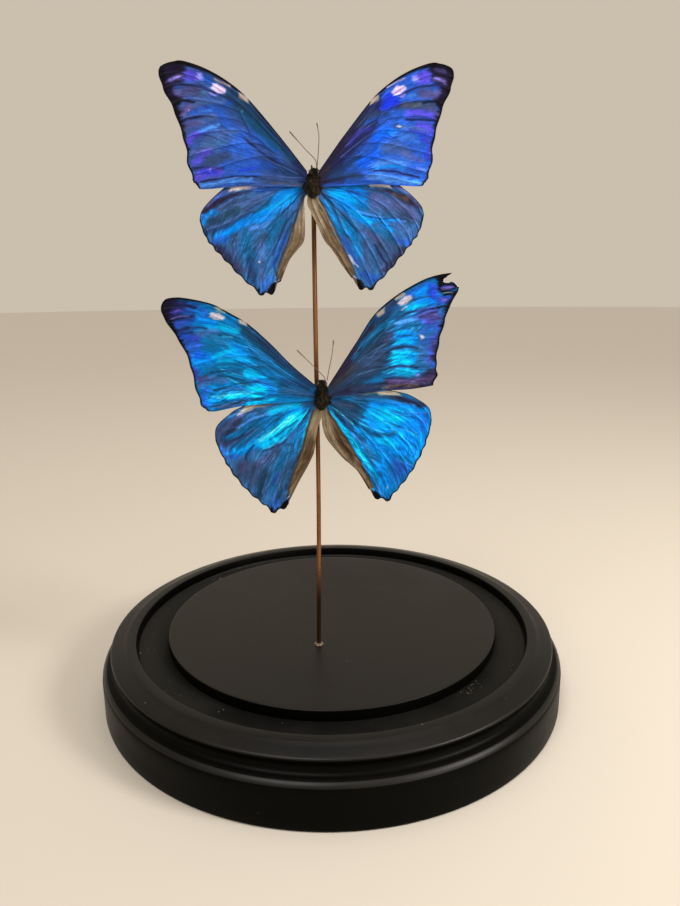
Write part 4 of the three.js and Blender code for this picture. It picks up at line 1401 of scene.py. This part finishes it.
def write_attribute(piece, name, values):
    if values.ndim == 2:
        layer = piece.data.attributes.new(name, "FLOAT_COLOR", "POINT")
        full = np.concatenate([to_linear(values), np.ones((len(values), 1))], axis=1)
        layer.data.foreach_set("color", full.ravel())
    else:
        layer = piece.data.attributes.new(name, "FLOAT", "POINT")
        layer.data.foreach_set("value", values)


def set_in_place(points, depth, at, side, turn, scale):
    """Moves [outwards, up] points of a wing to their place on the piece, in millimetres."""
    turn = math.radians(turn)
    x, z = points[:, 0], points[:, 1]
    outwards = side * scale * (x * math.cos(turn) - z * math.sin(turn))
    up = scale * (x * math.sin(turn) + z * math.cos(turn))
    return np.stack([
        at[0] + outwards * math.cos(YAW) - depth * math.sin(YAW),
        at[1] + outwards * math.sin(YAW) + depth * math.cos(YAW),
        at[2] + up,
    ], axis=1)


def unit(vectors):
    return vectors / np.maximum(np.linalg.norm(vectors, axis=-1, keepdims=True), 1e-9)


MID_CREASE = 0.45


def crinkle_lines(u, v, seed):
    """Fine dried creases from 0 to 1, which run out with the scale rows but sway across them."""
    sway = lattice_noise(u * 7, v * 8, seed) - 0.5
    fine = lattice_noise(u * 10, v * 66 + sway * 7, seed + 1)
    broad = lattice_noise(u * 6, v * 34 - sway * 5, seed + 2)
    lines = (1 - np.abs(2 * fine - 1)) ** 1.5 * 0.6 + (1 - np.abs(2 * broad - 1)) * 0.4
    where = smooth_step(0.25, 0.7, lattice_noise(u * 4.5, v * 6, seed + 3))
    return MID_CREASE + (lines - MID_CREASE) * (0.35 + 0.65 * where) * smooth_step(0.02, 0.25, u)


VEIN_RIDGE, PLEAT, WAVES, FOLDS, CREASES = 0.06, 0.12, 0.2, 0.2, 0.13
HIGHEST = 0.26


def membrane_relief(u, v, vein, lines, crinkle, seed):
    """Height of the membrane towards the front, in millimetres."""
    ridge = VEIN_RIDGE * np.exp(-((vein / 1.1) ** 2))
    pleat = PLEAT * (smooth_step(0, 5, vein) - 0.5)
    waves = WAVES * (lattice_noise(u * 2.3, v * 3.4, seed) - 0.5)
    folds = FOLDS * (lattice_noise(u * 5, v * 22, seed + 1) - 0.5) + CREASES * (lines - MID_CREASE)
    height = ridge - pleat + waves + crinkle * folds * smooth_step(0.02, 0.3, u)
    return np.clip(height, -HIGHEST, HIGHEST)


def build_wing(node, outline, base, strokes, turn, scale, seed):
    upper, fore = node.startswith("upper"), "forewing" in node
    at = UPPER_AT if upper else LOWER_AT
    side = 1 if node.endswith("right") else -1
    veins = FORE_VEINS if fore else HIND_VEINS
    depth = FOREWING_DEPTH if fore else HINDWING_DEPTH
    rough_edge = 1.0 if upper else 1.1
    crinkle = 1.0 if not upper else 0.6 if fore else 0.7
    clear_selection()
    bpy.ops.mesh.primitive_grid_add(x_subdivisions=ALONG, y_subdivisions=ACROSS, size=1, calc_uvs=True)
    piece = bpy.context.object
    piece.name = node + "_membrane"
    flat = np.empty(len(piece.data.vertices) * 3)
    piece.data.vertices.foreach_get("co", flat)
    u, v = flat.reshape(-1, 3)[:, 0] + 0.5, flat.reshape(-1, 3)[:, 1] + 0.5
    points = fitted_grid(outline, u, v)
    sheet = np.zeros((ALONG + 1, ACROSS + 1, 2))
    sheet[np.rint(u * ALONG).astype(int), np.rint(v * ACROSS).astype(int)] = points
    vein = vein_nearness(sheet, veins, points, u)
    lines = crinkle_lines(u, v, seed + 20)
    relief = membrane_relief(u, v, vein, lines, crinkle, seed)
    placed = set_in_place(points, depth - relief, at, side, turn, scale)
    piece.data.vertices.foreach_set("co", (placed * MM).ravel())

    outwards = unit(between_cells(sheet, u + 0.02, v) - between_cells(sheet, u - 0.02, v))
    across = np.stack([outwards[:, 1], -outwards[:, 0]], axis=1)
    rows = lattice_noise(u * 7, v * 140, seed + 3) + lattice_noise(u * 4, v * 45, seed + 4) - 1
    sway = lattice_noise(u * 9, v * 11, seed + 5) + lattice_noise(u * 30, v * 40, seed + 9) - 1
    shift = rows + 1.6 * (lines - MID_CREASE)
    ragged = outwards * shift[:, None] * rough_edge + across * sway[:, None] * 0.45
    colour = paint(base, strokes, points, ragged)
    # Streaky tone of the scale rows, with painted glinting specks, painted light and shade along the
    # creases and a painted highlight on their crests, all laid into the colour.
    fine, broad = lattice_noise(u * 10, v * 150, seed + 6), lattice_noise(u * 5, v * 60, seed + 7)
    streaks = 0.5 * fine + 0.5 * broad
    painted_glints = lattice_noise(u * 85, v * 190, seed + 8)
    gain = 0.76 + 0.22 * streaks + 0.24 * painted_glints + crinkle * 0.75 * (lines - MID_CREASE)
    painted_crest_highlight = smooth_step(0.62, 0.95, lines) * crinkle
    colour = colour * gain[:, None] + painted_crest_highlight[:, None] * colour[:, 2:] * CREST_HIGHLIGHT_TINT
    edge = distance_to_line(points, outer_margin(outline)[::5])
    edge /= FOREWING_MARGIN if fore else HINDWING_MARGIN
    costa_width = (0.26 + 0.36 * u) if fore else 0.12 + 0.1 * u
    costa = distance_to_line(points, smooth_run(outline["leading"], 60)) / costa_width
    margin = 0.92 - 0.92 * smooth_step(0.4, 1.35, np.minimum(edge, costa) + 0.35 * rows)
    colour = colour * (1 - margin[:, None]) + PAINT["soot"] * margin[:, None]
    colour = paint(colour, COSTA_MARKS.get(node, []), points, ragged * 0.5)
    write_attribute(piece, "paint", colour)
    under = paint("bark", UNDER_FORE if fore else UNDER_HIND, points, ragged * 0.4)
    write_attribute(piece, "under", under * (0.85 + 0.3 * streaks)[:, None])
    write_attribute(piece, "vein", vein)

    only(piece)
    piece.data.update()
    if sum(face.normal.y for face in piece.data.polygons[:400]) > 0:
        edit_all()
        bpy.ops.mesh.flip_normals()
        bpy.ops.object.mode_set(mode="OBJECT")
    piece.data.materials.append(violet_wing if upper else cyan_wing)
    piece.data.materials.append(wing_underside)
    apply_modifier(piece, "SOLIDIFY", thickness=MEMBRANE * MM, offset=-1, material_offset=1)
    return piece


print("wing builder ready")

# %% [markdown]
# ## Wing finish
# The painted colour is kept at the corners of the mesh. Over it lie fine rows of scales, which
# run from root to margin, and the veins, whose scales are rubbed and darker. Thin-film colour
# could be left to the shader, but real wings flash blue in every part only because of their
# crinkles, so that sheen is painted into the colour, under a soft sheen from the shader. The
# underside is matt.

# %% Scale rows effect
scales_group, inside, outside = new_group(
    "scale_rows",
    [("Colour", "Color", (0, 0.2, 1, 1)), ("Vein", "Float", 9.0), ("Contrast", "Float", 0.3),
     ("Vein Dark", "Float", 0.5), ("Roughness", "Float", 0.4)],
    [("Colour", "Color"), ("Roughness", "Float"), ("Height", "Float")],
)
tree = scales_group
place = add(tree, "TexCoord")
long_rows = add(tree, "Mapping", Vector=(place, "UV"), Scale=(26, 320, 1))
flat = {"noise_dimensions": "2D"}
rows = add(tree, "TexNoise", flat, Vector=(long_rows, "Vector"), Scale=1.0, Detail=3.0)
single = add(tree, "Mapping", Vector=(place, "UV"), Scale=(125, 165, 1))
scales = add(tree, "TexVoronoi", {"voronoi_dimensions": "2D"}, Vector=(single, "Vector"), Scale=1.0)
brighter = ramp(tree, (rows, "Fac"), 0.25, 0.75, -0.5, 0.5)
speckle = math_node(tree, "SUBTRACT", (scales, "Color"), 0.5)
both = math_node(tree, "ADD", brighter, math_node(tree, "MULTIPLY", speckle, 0.85))
gain = math_node(tree, "ADD", math_node(tree, "MULTIPLY", both, (inside, "Contrast")), 1.0)
scaled = add(tree, "VectorMath", {"operation": "SCALE"}, _0=(inside, "Colour"), _3=gain)
on_vein = ramp(tree, (inside, "Vein"), 1.2, 0.4)
vein_mask = math_node(tree, "MULTIPLY", on_vein, (inside, "Vein Dark"))
rubbed = math_node(tree, "MULTIPLY", on_vein, 0.2)
feed(
    tree, outside,
    Colour=mix(tree, vein_mask, (scaled, "Vector"), rgba("181426")),
    Roughness=math_node(tree, "ADD", (inside, "Roughness"), rubbed),
    Height=math_node(tree, "ADD", (rows, "Fac"), (scales, "Distance")),
)
print("scale effect has", len(tree.nodes), "nodes")


# %% Wing materials
def wing_material(name, attribute, contrast, vein_dark, roughness, metallic, sheen):
    material, tree, shader = new_material(name)
    painted = add(tree, "Attribute", {"attribute_name": attribute})
    vein = add(tree, "Attribute", {"attribute_name": "vein"})
    effect = use_group(
        tree, scales_group, Colour=(painted, "Color"), Vein=(vein, "Fac"), Contrast=contrast,
        Vein_Dark=vein_dark, Roughness=roughness,
    )
    feed(
        tree, shader, Base_Color=(effect, "Colour"), Roughness=(effect, "Roughness"),
        Metallic=metallic, Specular_IOR_Level=sheen,
        Normal=bumped(tree, (effect, "Height"), 0.35, 0.00006),
    )
    return material


violet_wing = wing_material("violet_blue_scales", "paint", 0.32, 0.4, 0.5, 0.25, 0.08)
cyan_wing = wing_material("cyan_blue_scales", "paint", 0.34, 0.22, 0.45, 0.3, 0.08)
wing_underside = wing_material("wing_underside", "under", 0.2, 0.3, 0.75, 0.0, 0.2)
print("wing materials ready")

# %% [markdown]
# ## The torn tip
# The lower right forewing has lost a piece of its tip. It is cut with a block whose side follows
# the ragged tear. Deleting faces would also take it off, but would leave a stepped edge.

# %% Block for the tear
TEAR_REACH = 2.0


def tear_block():
    front, back = (
        set_in_place(np.array(TEAR, float), depth, LOWER_AT, 1, 0, 1) * MM
        for depth in (-TEAR_REACH, TEAR_REACH)
    )
    clear_selection()
    bpy.ops.mesh.primitive_circle_add(vertices=len(TEAR), radius=MM, fill_type="NGON")
    block = bpy.context.object
    for vertex, place in zip(block.data.vertices, front):
        vertex.co = place
    edit_all()
    bpy.ops.mesh.extrude_region_move(TRANSFORM_OT_translate={"value": tuple(back[0] - front[0])})
    bpy.ops.object.mode_set(mode="OBJECT")
    point_outwards(block)
    return block


print("tear block ready")

# %% [markdown]
# ## The eight wings
# Forewings lie in front of the hindwings. Three of the right-hand ones are turned a little and a
# touch smaller than their left-hand partners, and each wing has its own colours and creases.

# %% Wings
UPPER_RIGHT_HIND = dict(UPPER_HINDWING, inner=UPPER_RIGHT_FOLD)
LOWER_RIGHT_HIND = dict(LOWER_HINDWING, inner=LOWER_RIGHT_FOLD)
UPPER_TAIL, LOWER_TAIL = TAIL_SPOTS["upper"], TAIL_SPOTS["lower"]
WINGS = [
    # node, outline, ground colour, marks, turn in degrees, scale, seed
    ("upper_forewing_left", UPPER_FOREWING, "denim", UPPER_FORE_LEFT, 0, 1, 11),
    ("upper_forewing_right", UPPER_FOREWING, "royal", UPPER_FORE_RIGHT, 1.8, 0.984, 31),
    ("upper_hindwing_left", UPPER_HINDWING, "marine", UPPER_HIND_LEFT + UPPER_TAIL, 0, 1, 51),
    ("upper_hindwing_right", UPPER_RIGHT_HIND, "marine", UPPER_HIND_RIGHT + UPPER_TAIL, 2.3, 0.98, 71),
    ("lower_forewing_left", LOWER_FOREWING, "lagoon", LOWER_FORE_LEFT, 0, 1, 91),
    ("lower_forewing_right", TORN_FOREWING, "lagoon", LOWER_FORE_RIGHT, 0, 1, 111),
    ("lower_hindwing_left", LOWER_HINDWING, "marine", LOWER_HIND_LEFT + LOWER_TAIL, 0, 1, 131),
    ("lower_hindwing_right", LOWER_RIGHT_HIND, "lagoon", LOWER_HIND_RIGHT + LOWER_TAIL, 7.7, 0.995, 151),
]
for node, outline, *recipe in WINGS:
    wing = build_wing(node, outline, *recipe)
    if outline is TORN_FOREWING:
        cut_away(wing, tear_block())
    settle(wing, node, 60)

# %% [markdown]
# ## Furry bodies
# Each body is a thorax with a small head, two bulging eyes and two palps, all covered in short
# brown fur that lies back towards the tail. Fur could be a particle system, but separate fine
# tapered hairs, joined into one mesh, stay the same everywhere. One helper makes any number of
# thin tubes from their centre lines, and it makes hairs, palps and antennae alike.

# %% Thin tubes
def thin_tubes(name, paths, radii, sides):
    """Joins closed tubes along paths (tubes, rings, 3), given with their radii, in millimetres."""
    paths, radii = np.asarray(paths, float), np.asarray(radii, float)
    count, rings = radii.shape
    heading = unit(np.gradient(paths, axis=1))
    side = unit(np.cross(heading, np.array([0.31, 0.93, 0.19])))
    other = np.cross(heading, side)
    turns = np.arange(sides) * 2 * np.pi / sides
    ring = side[:, :, None] * np.cos(turns)[:, None] + other[:, :, None] * np.sin(turns)[:, None]
    corners = paths[:, :, None] + ring * radii[:, :, None, None]
    index = np.arange(count * rings * sides).reshape(count, rings, sides)
    low, high = index[:, :-1], index[:, 1:]
    low_next, high_next = np.roll(low, -1, axis=2), np.roll(high, -1, axis=2)
    walls = np.stack([low, low_next, high_next, high], axis=-1).reshape(-1, 4)
    ends = np.concatenate([index[:, 0, ::-1], index[:, -1]])
    mesh = bpy.data.meshes.new(name)
    mesh.from_pydata(corners.reshape(-1, 3) * MM, [], walls.tolist() + ends.tolist())
    piece = bpy.data.objects.new(name, mesh)
    bpy.context.collection.objects.link(piece)
    point_outwards(piece)
    return piece


def join_pieces(first, *others):
    only(first)
    for other in others:
        other.select_set(True)
    bpy.ops.object.join()
    return first


def shade_attribute(piece, values):
    layer = piece.data.attributes.new("shade", "FLOAT", "POINT")
    layer.data.foreach_set("value", np.asarray(values, float))


print("tube helper ready")


# %% Fur
def grow_fur(name, centre, radii, count, length, lean, seed, keep_low=-1.0, keep_high=1.0):
    """Hairs that start just under an egg-shaped body and lean back towards its tail."""
    rng = np.random.default_rng(seed)
    up = rng.uniform(keep_low, keep_high, count)
    around = rng.uniform(0, 2 * np.pi, count)
    flat = np.sqrt(1 - up * up)
    ball = np.stack([flat * np.cos(around), flat * np.sin(around), up], axis=1)
    start = np.array(centre) + ball * np.array(radii) * 0.96
    outwards = unit(ball / np.array(radii))
    tail = np.array([0, 0, -1.0]) - outwards * outwards[:, 2:] * -1
    first = unit(outwards * (1 - lean) + unit(tail) * lean + rng.normal(0, 0.22, (count, 3)))
    second = unit(first * 0.6 + unit(tail) * 0.5 + rng.normal(0, 0.2, (count, 3)))
    size = length * rng.uniform(0.55, 1.25, count)[:, None]
    middle = start + first * size * 0.5
    paths = np.stack([start, middle, middle + second * size * 0.5], axis=1)
    radii = np.array([0.075, 0.06, 0.015]) * rng.uniform(0.7, 1.4, (count, 1))
    fur = thin_tubes(name, paths, radii, 3)
    clump = lattice_noise(ball[:, 0] * 3.4 + ball[:, 1] * 1.7, ball[:, 2] * 3.6, seed + 7)
    shade = np.clip(0.75 * rng.random(count) ** 4 + 1.3 * (clump - 0.52), 0, 1)
    shade_attribute(fur, np.repeat(shade, 9))
    return fur


def egg(name, centre, radii, rings=24, sides=36):
    """A rounded body: a ball squeezed along its three axes."""
    clear_selection()
    bpy.ops.mesh.primitive_uv_sphere_add(segments=sides, ring_count=rings, radius=MM)
    piece = bpy.context.object
    piece.name = name
    edit_all()
    bpy.ops.transform.resize(value=tuple(radii))
    bpy.ops.transform.translate(value=metres(*centre))
    bpy.ops.object.mode_set(mode="OBJECT")
    shade_attribute(piece, np.zeros(len(piece.data.vertices)))
    return piece


def in_frame(at, place):
    """A point given from the middle of a thorax, as a point of the whole piece."""
    x, y, z = place
    return (
        at[0] + x * math.cos(YAW) - y * math.sin(YAW),
        at[1] + x * math.sin(YAW) + y * math.cos(YAW),
        at[2] + z,
    )


print("fur helper ready")

# %% Fur, eye and horn finishes
fur_finish, tree, shader = new_material("brown_fur")
shade = add(tree, "Attribute", {"attribute_name": "shade"})
tone = mix(tree, (shade, "Fac"), rgba("0a0705"), rgba("524430"))
feed(tree, shader, Base_Color=tone, Roughness=0.55, Specular_IOR_Level=0.15)

eye_finish, tree, shader = new_material("dark_eye")
place = add(tree, "TexCoord")
cells = add(tree, "TexVoronoi", Vector=(place, "Object"), Scale=9000.0)
domed = bumped(tree, (cells, "Distance"), 0.3, 0.00002)
feed(tree, shader, Base_Color=rgba("1a0f0a"), Roughness=0.22, Normal=domed)

horn_finish, tree, shader = new_material("brown_horn")
place = add(tree, "TexCoord")
along = {"bands_direction": "Z"}
rings = add(tree, "TexWave", along, Vector=(place, "Object"), Scale=700.0, Distortion=0.4)
tone = mix(tree, (rings, "Fac"), rgba("2a1d12"), rgba("5d4630"))
ringed = bumped(tree, (rings, "Fac"), 0.4, 0.00003)
feed(tree, shader, Base_Color=tone, Roughness=0.45, Normal=ringed)
print("body finishes ready")

# %% [markdown]
# ## Two bodies
# The thorax is an egg under its fur. The head is a wider ball with an eye on each side and two
# palps that point up between the antennae. The antennae are bare, thin and end in a slim club.

# %% Body builder
WING_KNOBS = {
    # side, distance across, height and size of each knob at a wing root
    "upper": [(-1, 2.3, -0.3, 0.34), (1, 1.75, -0.5, 0.3)],
    "lower": [(-1, 1.9, -1.3, 0.3), (1, 2.0, 0.4, 0.36), (1, 1.9, -1.1, 0.34)],
}


BACK_HAIRS, SHOULDER_HAIRS, COLLAR_HAIRS, KNOB_HAIRS, HEAD_HAIRS = 3600, 700, 1500, 160, 900


def build_thorax(name, at, centre, radii, seed):
    middle = in_frame(at, centre)
    body = egg(f"{name}_thorax_fur", middle, radii)
    back = grow_fur("back_fur", middle, radii, BACK_HAIRS, 0.85, 0.6, seed)
    inner = [radius * 0.97 for radius in radii]
    shoulders = grow_fur("shoulder_fur", middle, inner, SHOULDER_HAIRS, 1.3, 0.35, seed + 1, -0.5, 0.8)
    join_pieces(body, back, shoulders)
    neck = in_frame(at, (centre[0] + 0.15, centre[1], centre[2] + radii[2] * 0.72))
    collar_radii = (radii[0] * 0.98, radii[1] * 0.75, 1.25)
    collar = egg("collar", neck, collar_radii, 16, 24)
    collar_fur = grow_fur("collar_fur", neck, collar_radii, COLLAR_HAIRS, 0.7, 0.3, seed + 3)
    join_pieces(body, collar, collar_fur)
    for side, across, up, size in WING_KNOBS[name]:
        place = in_frame(at, (across * side, centre[1] - 1.3, centre[2] + up))
        knob_radii = (size, size * 0.8, size)
        knob = egg("knob", place, knob_radii, 12, 16)
        tuft = grow_fur("knob_fur", place, knob_radii, KNOB_HAIRS, 0.5, 0.3, seed + 5)
        join_pieces(body, knob, tuft)
    body.data.materials.append(fur_finish)
    settle(body, f"{name}_thorax", 60)


def build_head(name, at, centre, radius, seed):
    middle = in_frame(at, centre)
    radii = (radius * 0.95, radius * 0.9, radius * 0.8)
    head = egg(f"{name}_head_fur", middle, radii, 16, 24)
    hair = grow_fur("head_hair", middle, radii, HEAD_HAIRS, 0.55, 0.15, seed)
    width = 0.3 * np.array([0.7, 0.9, 1, 1, 0.95, 0.85, 0.7, 0.5, 0.2])
    palps = []
    for side in (-1, 1):
        rise = 1.9 if name == "upper" and side < 0 else 1.3
        reach = [(0.4 * side, -0.5, 0.2), (0.62 * side, -0.8, 0.55 * rise), (0.7 * side, -0.7, rise)]
        palps.append(smooth_run([in_frame(at, np.array(centre) + step) for step in reach], 8))
    palps = thin_tubes("palps", palps, [width, width], 10)
    shade_attribute(palps, np.full(len(palps.data.vertices), 0.03))
    join_pieces(head, hair, palps)
    head.data.materials.append(fur_finish)
    head.data.materials.append(eye_finish)
    for side in (-1, 1):
        place = in_frame(at, np.array(centre) + (0.72 * radius * side, -0.25, 0.05))
        eye = egg("eye", place, (0.5 * radius, 0.6 * radius, 0.62 * radius), 14, 20)
        eye.data.materials.append(fur_finish)
        eye.data.materials.append(eye_finish)
        for face in eye.data.polygons:
            face.material_index = 1
        join_pieces(head, eye)
    settle(head, f"{name}_head", 60)


def build_antenna(name, side, at, points):
    line = smooth_run([in_frame(at, point) for point in points], 44)
    share = np.linspace(0, 1, 45)
    club = smooth_step(0.78, 0.93, share) * (1 - 0.6 * smooth_step(0.95, 1, share))
    width = 0.12 - 0.035 * share + 0.075 * club
    antenna = thin_tubes(f"{name}_antenna_{side}_horn", [line], [width], 10)
    antenna.data.materials.append(horn_finish)
    settle(antenna, f"{name}_antenna_{side}", 50)


# %% Upper and lower body
HEAD_RADIUS = 1.2
BODIES = [
    # name, place, thorax middle and radii, head middle, left antenna, right antenna, seed
    ("upper", UPPER_AT, (-0.1, 0.9, -0.35), (1.72, 2.1, 2.6), (0.3, 0.6, 2.9),
     [(0.95, 0.3, 4), (0.6, 0, 6), (-1.9, -0.2, 8.5), (-5.9, -0.4, 12.7)],
     [(1, 0.3, 3.8), (1.4, 0, 8), (1.6, -0.3, 11.7), (1.1, -0.4, 14.8)], 201),
    ("lower", LOWER_AT, (-0.3, 0.9, -0.1), (1.7, 2.1, 3), (-0.15, 0.6, 3.8),
     [(0.9, 0.3, 4.6), (0.4, 0.1, 6), (-2.3, -0.2, 8.9), (-6.9, -0.4, 13.5)],
     [(1.3, 0.3, 4.8), (2, 0, 8.4), (2.8, -0.3, 12.4), (3.2, -0.4, 16)], 211),
]
for name, at, thorax, radii, head, left, right, seed in BODIES:
    build_thorax(name, at, thorax, radii, seed)
    build_head(name, at, head, HEAD_RADIUS, seed + 2)
    build_antenna(name, "left", at, left)
    build_antenna(name, "right", at, right)

# %% [markdown]
# ## Glue behind each thorax
# A drop of clear glue holds each thorax to the rod. It is hidden in front, so it is a guess: a
# smooth drop round the back half of the rod. A ball is squeezed, cut off in front with a bisect
# and drilled for the rod.

# %% Glue drops
ROD_CHANNEL = 0.7
ROD_X_BEHIND_BODIES = -3.3


def build_glue(name, at, thorax_height):
    rod_x, rod_y = ROD_X_BEHIND_BODIES, ROD_FOOT[1]
    drop = egg(f"{name}_glue_drop", (rod_x, rod_y + 0.2, at[2] + thorax_height), (2.1, 1.9, 2.8), 32, 48)
    edit_all()
    bpy.ops.mesh.bisect(
        plane_co=(0, (rod_y - 0.5) * MM, 0), plane_no=(0, 1, 0), use_fill=True, clear_inner=True
    )
    bpy.ops.object.mode_set(mode="OBJECT")
    drill(drop, ROD_CHANNEL, rod_x, rod_y, at[2] + thorax_height)
    drop.data.materials.append(glue)
    settle(drop, f"{name}_glue", 50)


build_glue("upper", UPPER_AT, -0.45)
build_glue("lower", LOWER_AT, -0.2)

# %% [markdown]
# ## Floor and light
# The piece stands on a plain pale floor in soft studio light: wide daylight and a large soft key
# from above and the front left, a softer fill, and a lamp on the right whose reflection runs
# along the base's shoulder. A picture of a room would light it too, but would bring its own
# reflections.

# %% Floor
clear_selection()
bpy.ops.mesh.primitive_circle_add(vertices=96, radius=4.0, fill_type="NGON")
floor = bpy.context.object
floor.name = "floor"
plaster, tree, shader = new_material("pale_floor")
feed(tree, shader, Base_Color=rgba("bab3a8"), Roughness=0.85)
floor.data.materials.append(plaster)

world = bpy.data.worlds.new("soft_room")
world.use_nodes = True
feed(world.node_tree, world.node_tree.nodes["Background"], Color=rgba("e0d3c0"), Strength=0.8)
bpy.context.scene.world = world
bpy.context.scene.view_settings.view_transform = "Standard"
print("floor and world ready")


# %% Lamps
LAMPS = [
    # name, place, aim, size, watts, colour
    ("key", (-420, -620, 620), (0, 0, 90), 520, 0.9, "fffaf4"),
    ("fill", (520, -520, 260), (0, 0, 90), 300, 0.9, "fdf8f4"),
    ("top", (60, 120, 720), (0, 0, 60), 420, 0.8, "fff8ee"),
    ("side", (424, -222, 355), (32, -65, 13), 150, 2.7, "fffaf4"),
]

clear_selection()
for name, place, aim, size, watts, colour in LAMPS:
    bpy.ops.object.light_add(type="AREA", location=metres(*place))
    lamp = bpy.context.object
    lamp.name = name
    away = lamp.location - lamp.location.__class__(metres(*aim))
    lamp.rotation_euler = away.to_track_quat("Z", "Y").to_euler()
    lamp.data.shape = "RECTANGLE"
    lamp.data.size = lamp.data.size_y = size * MM
    lamp.data.energy = watts
    lamp.data.color = rgb(colour)
bpy.ops.object.light_add(type="SUN", rotation=(math.radians(27), math.radians(-15), 0))
daylight = bpy.context.object
daylight.name = "daylight"
daylight.data.energy = 1.6
daylight.data.angle = math.radians(28)
daylight.data.color = rgb("fbf8f6")
print("four soft lamps and wide daylight")
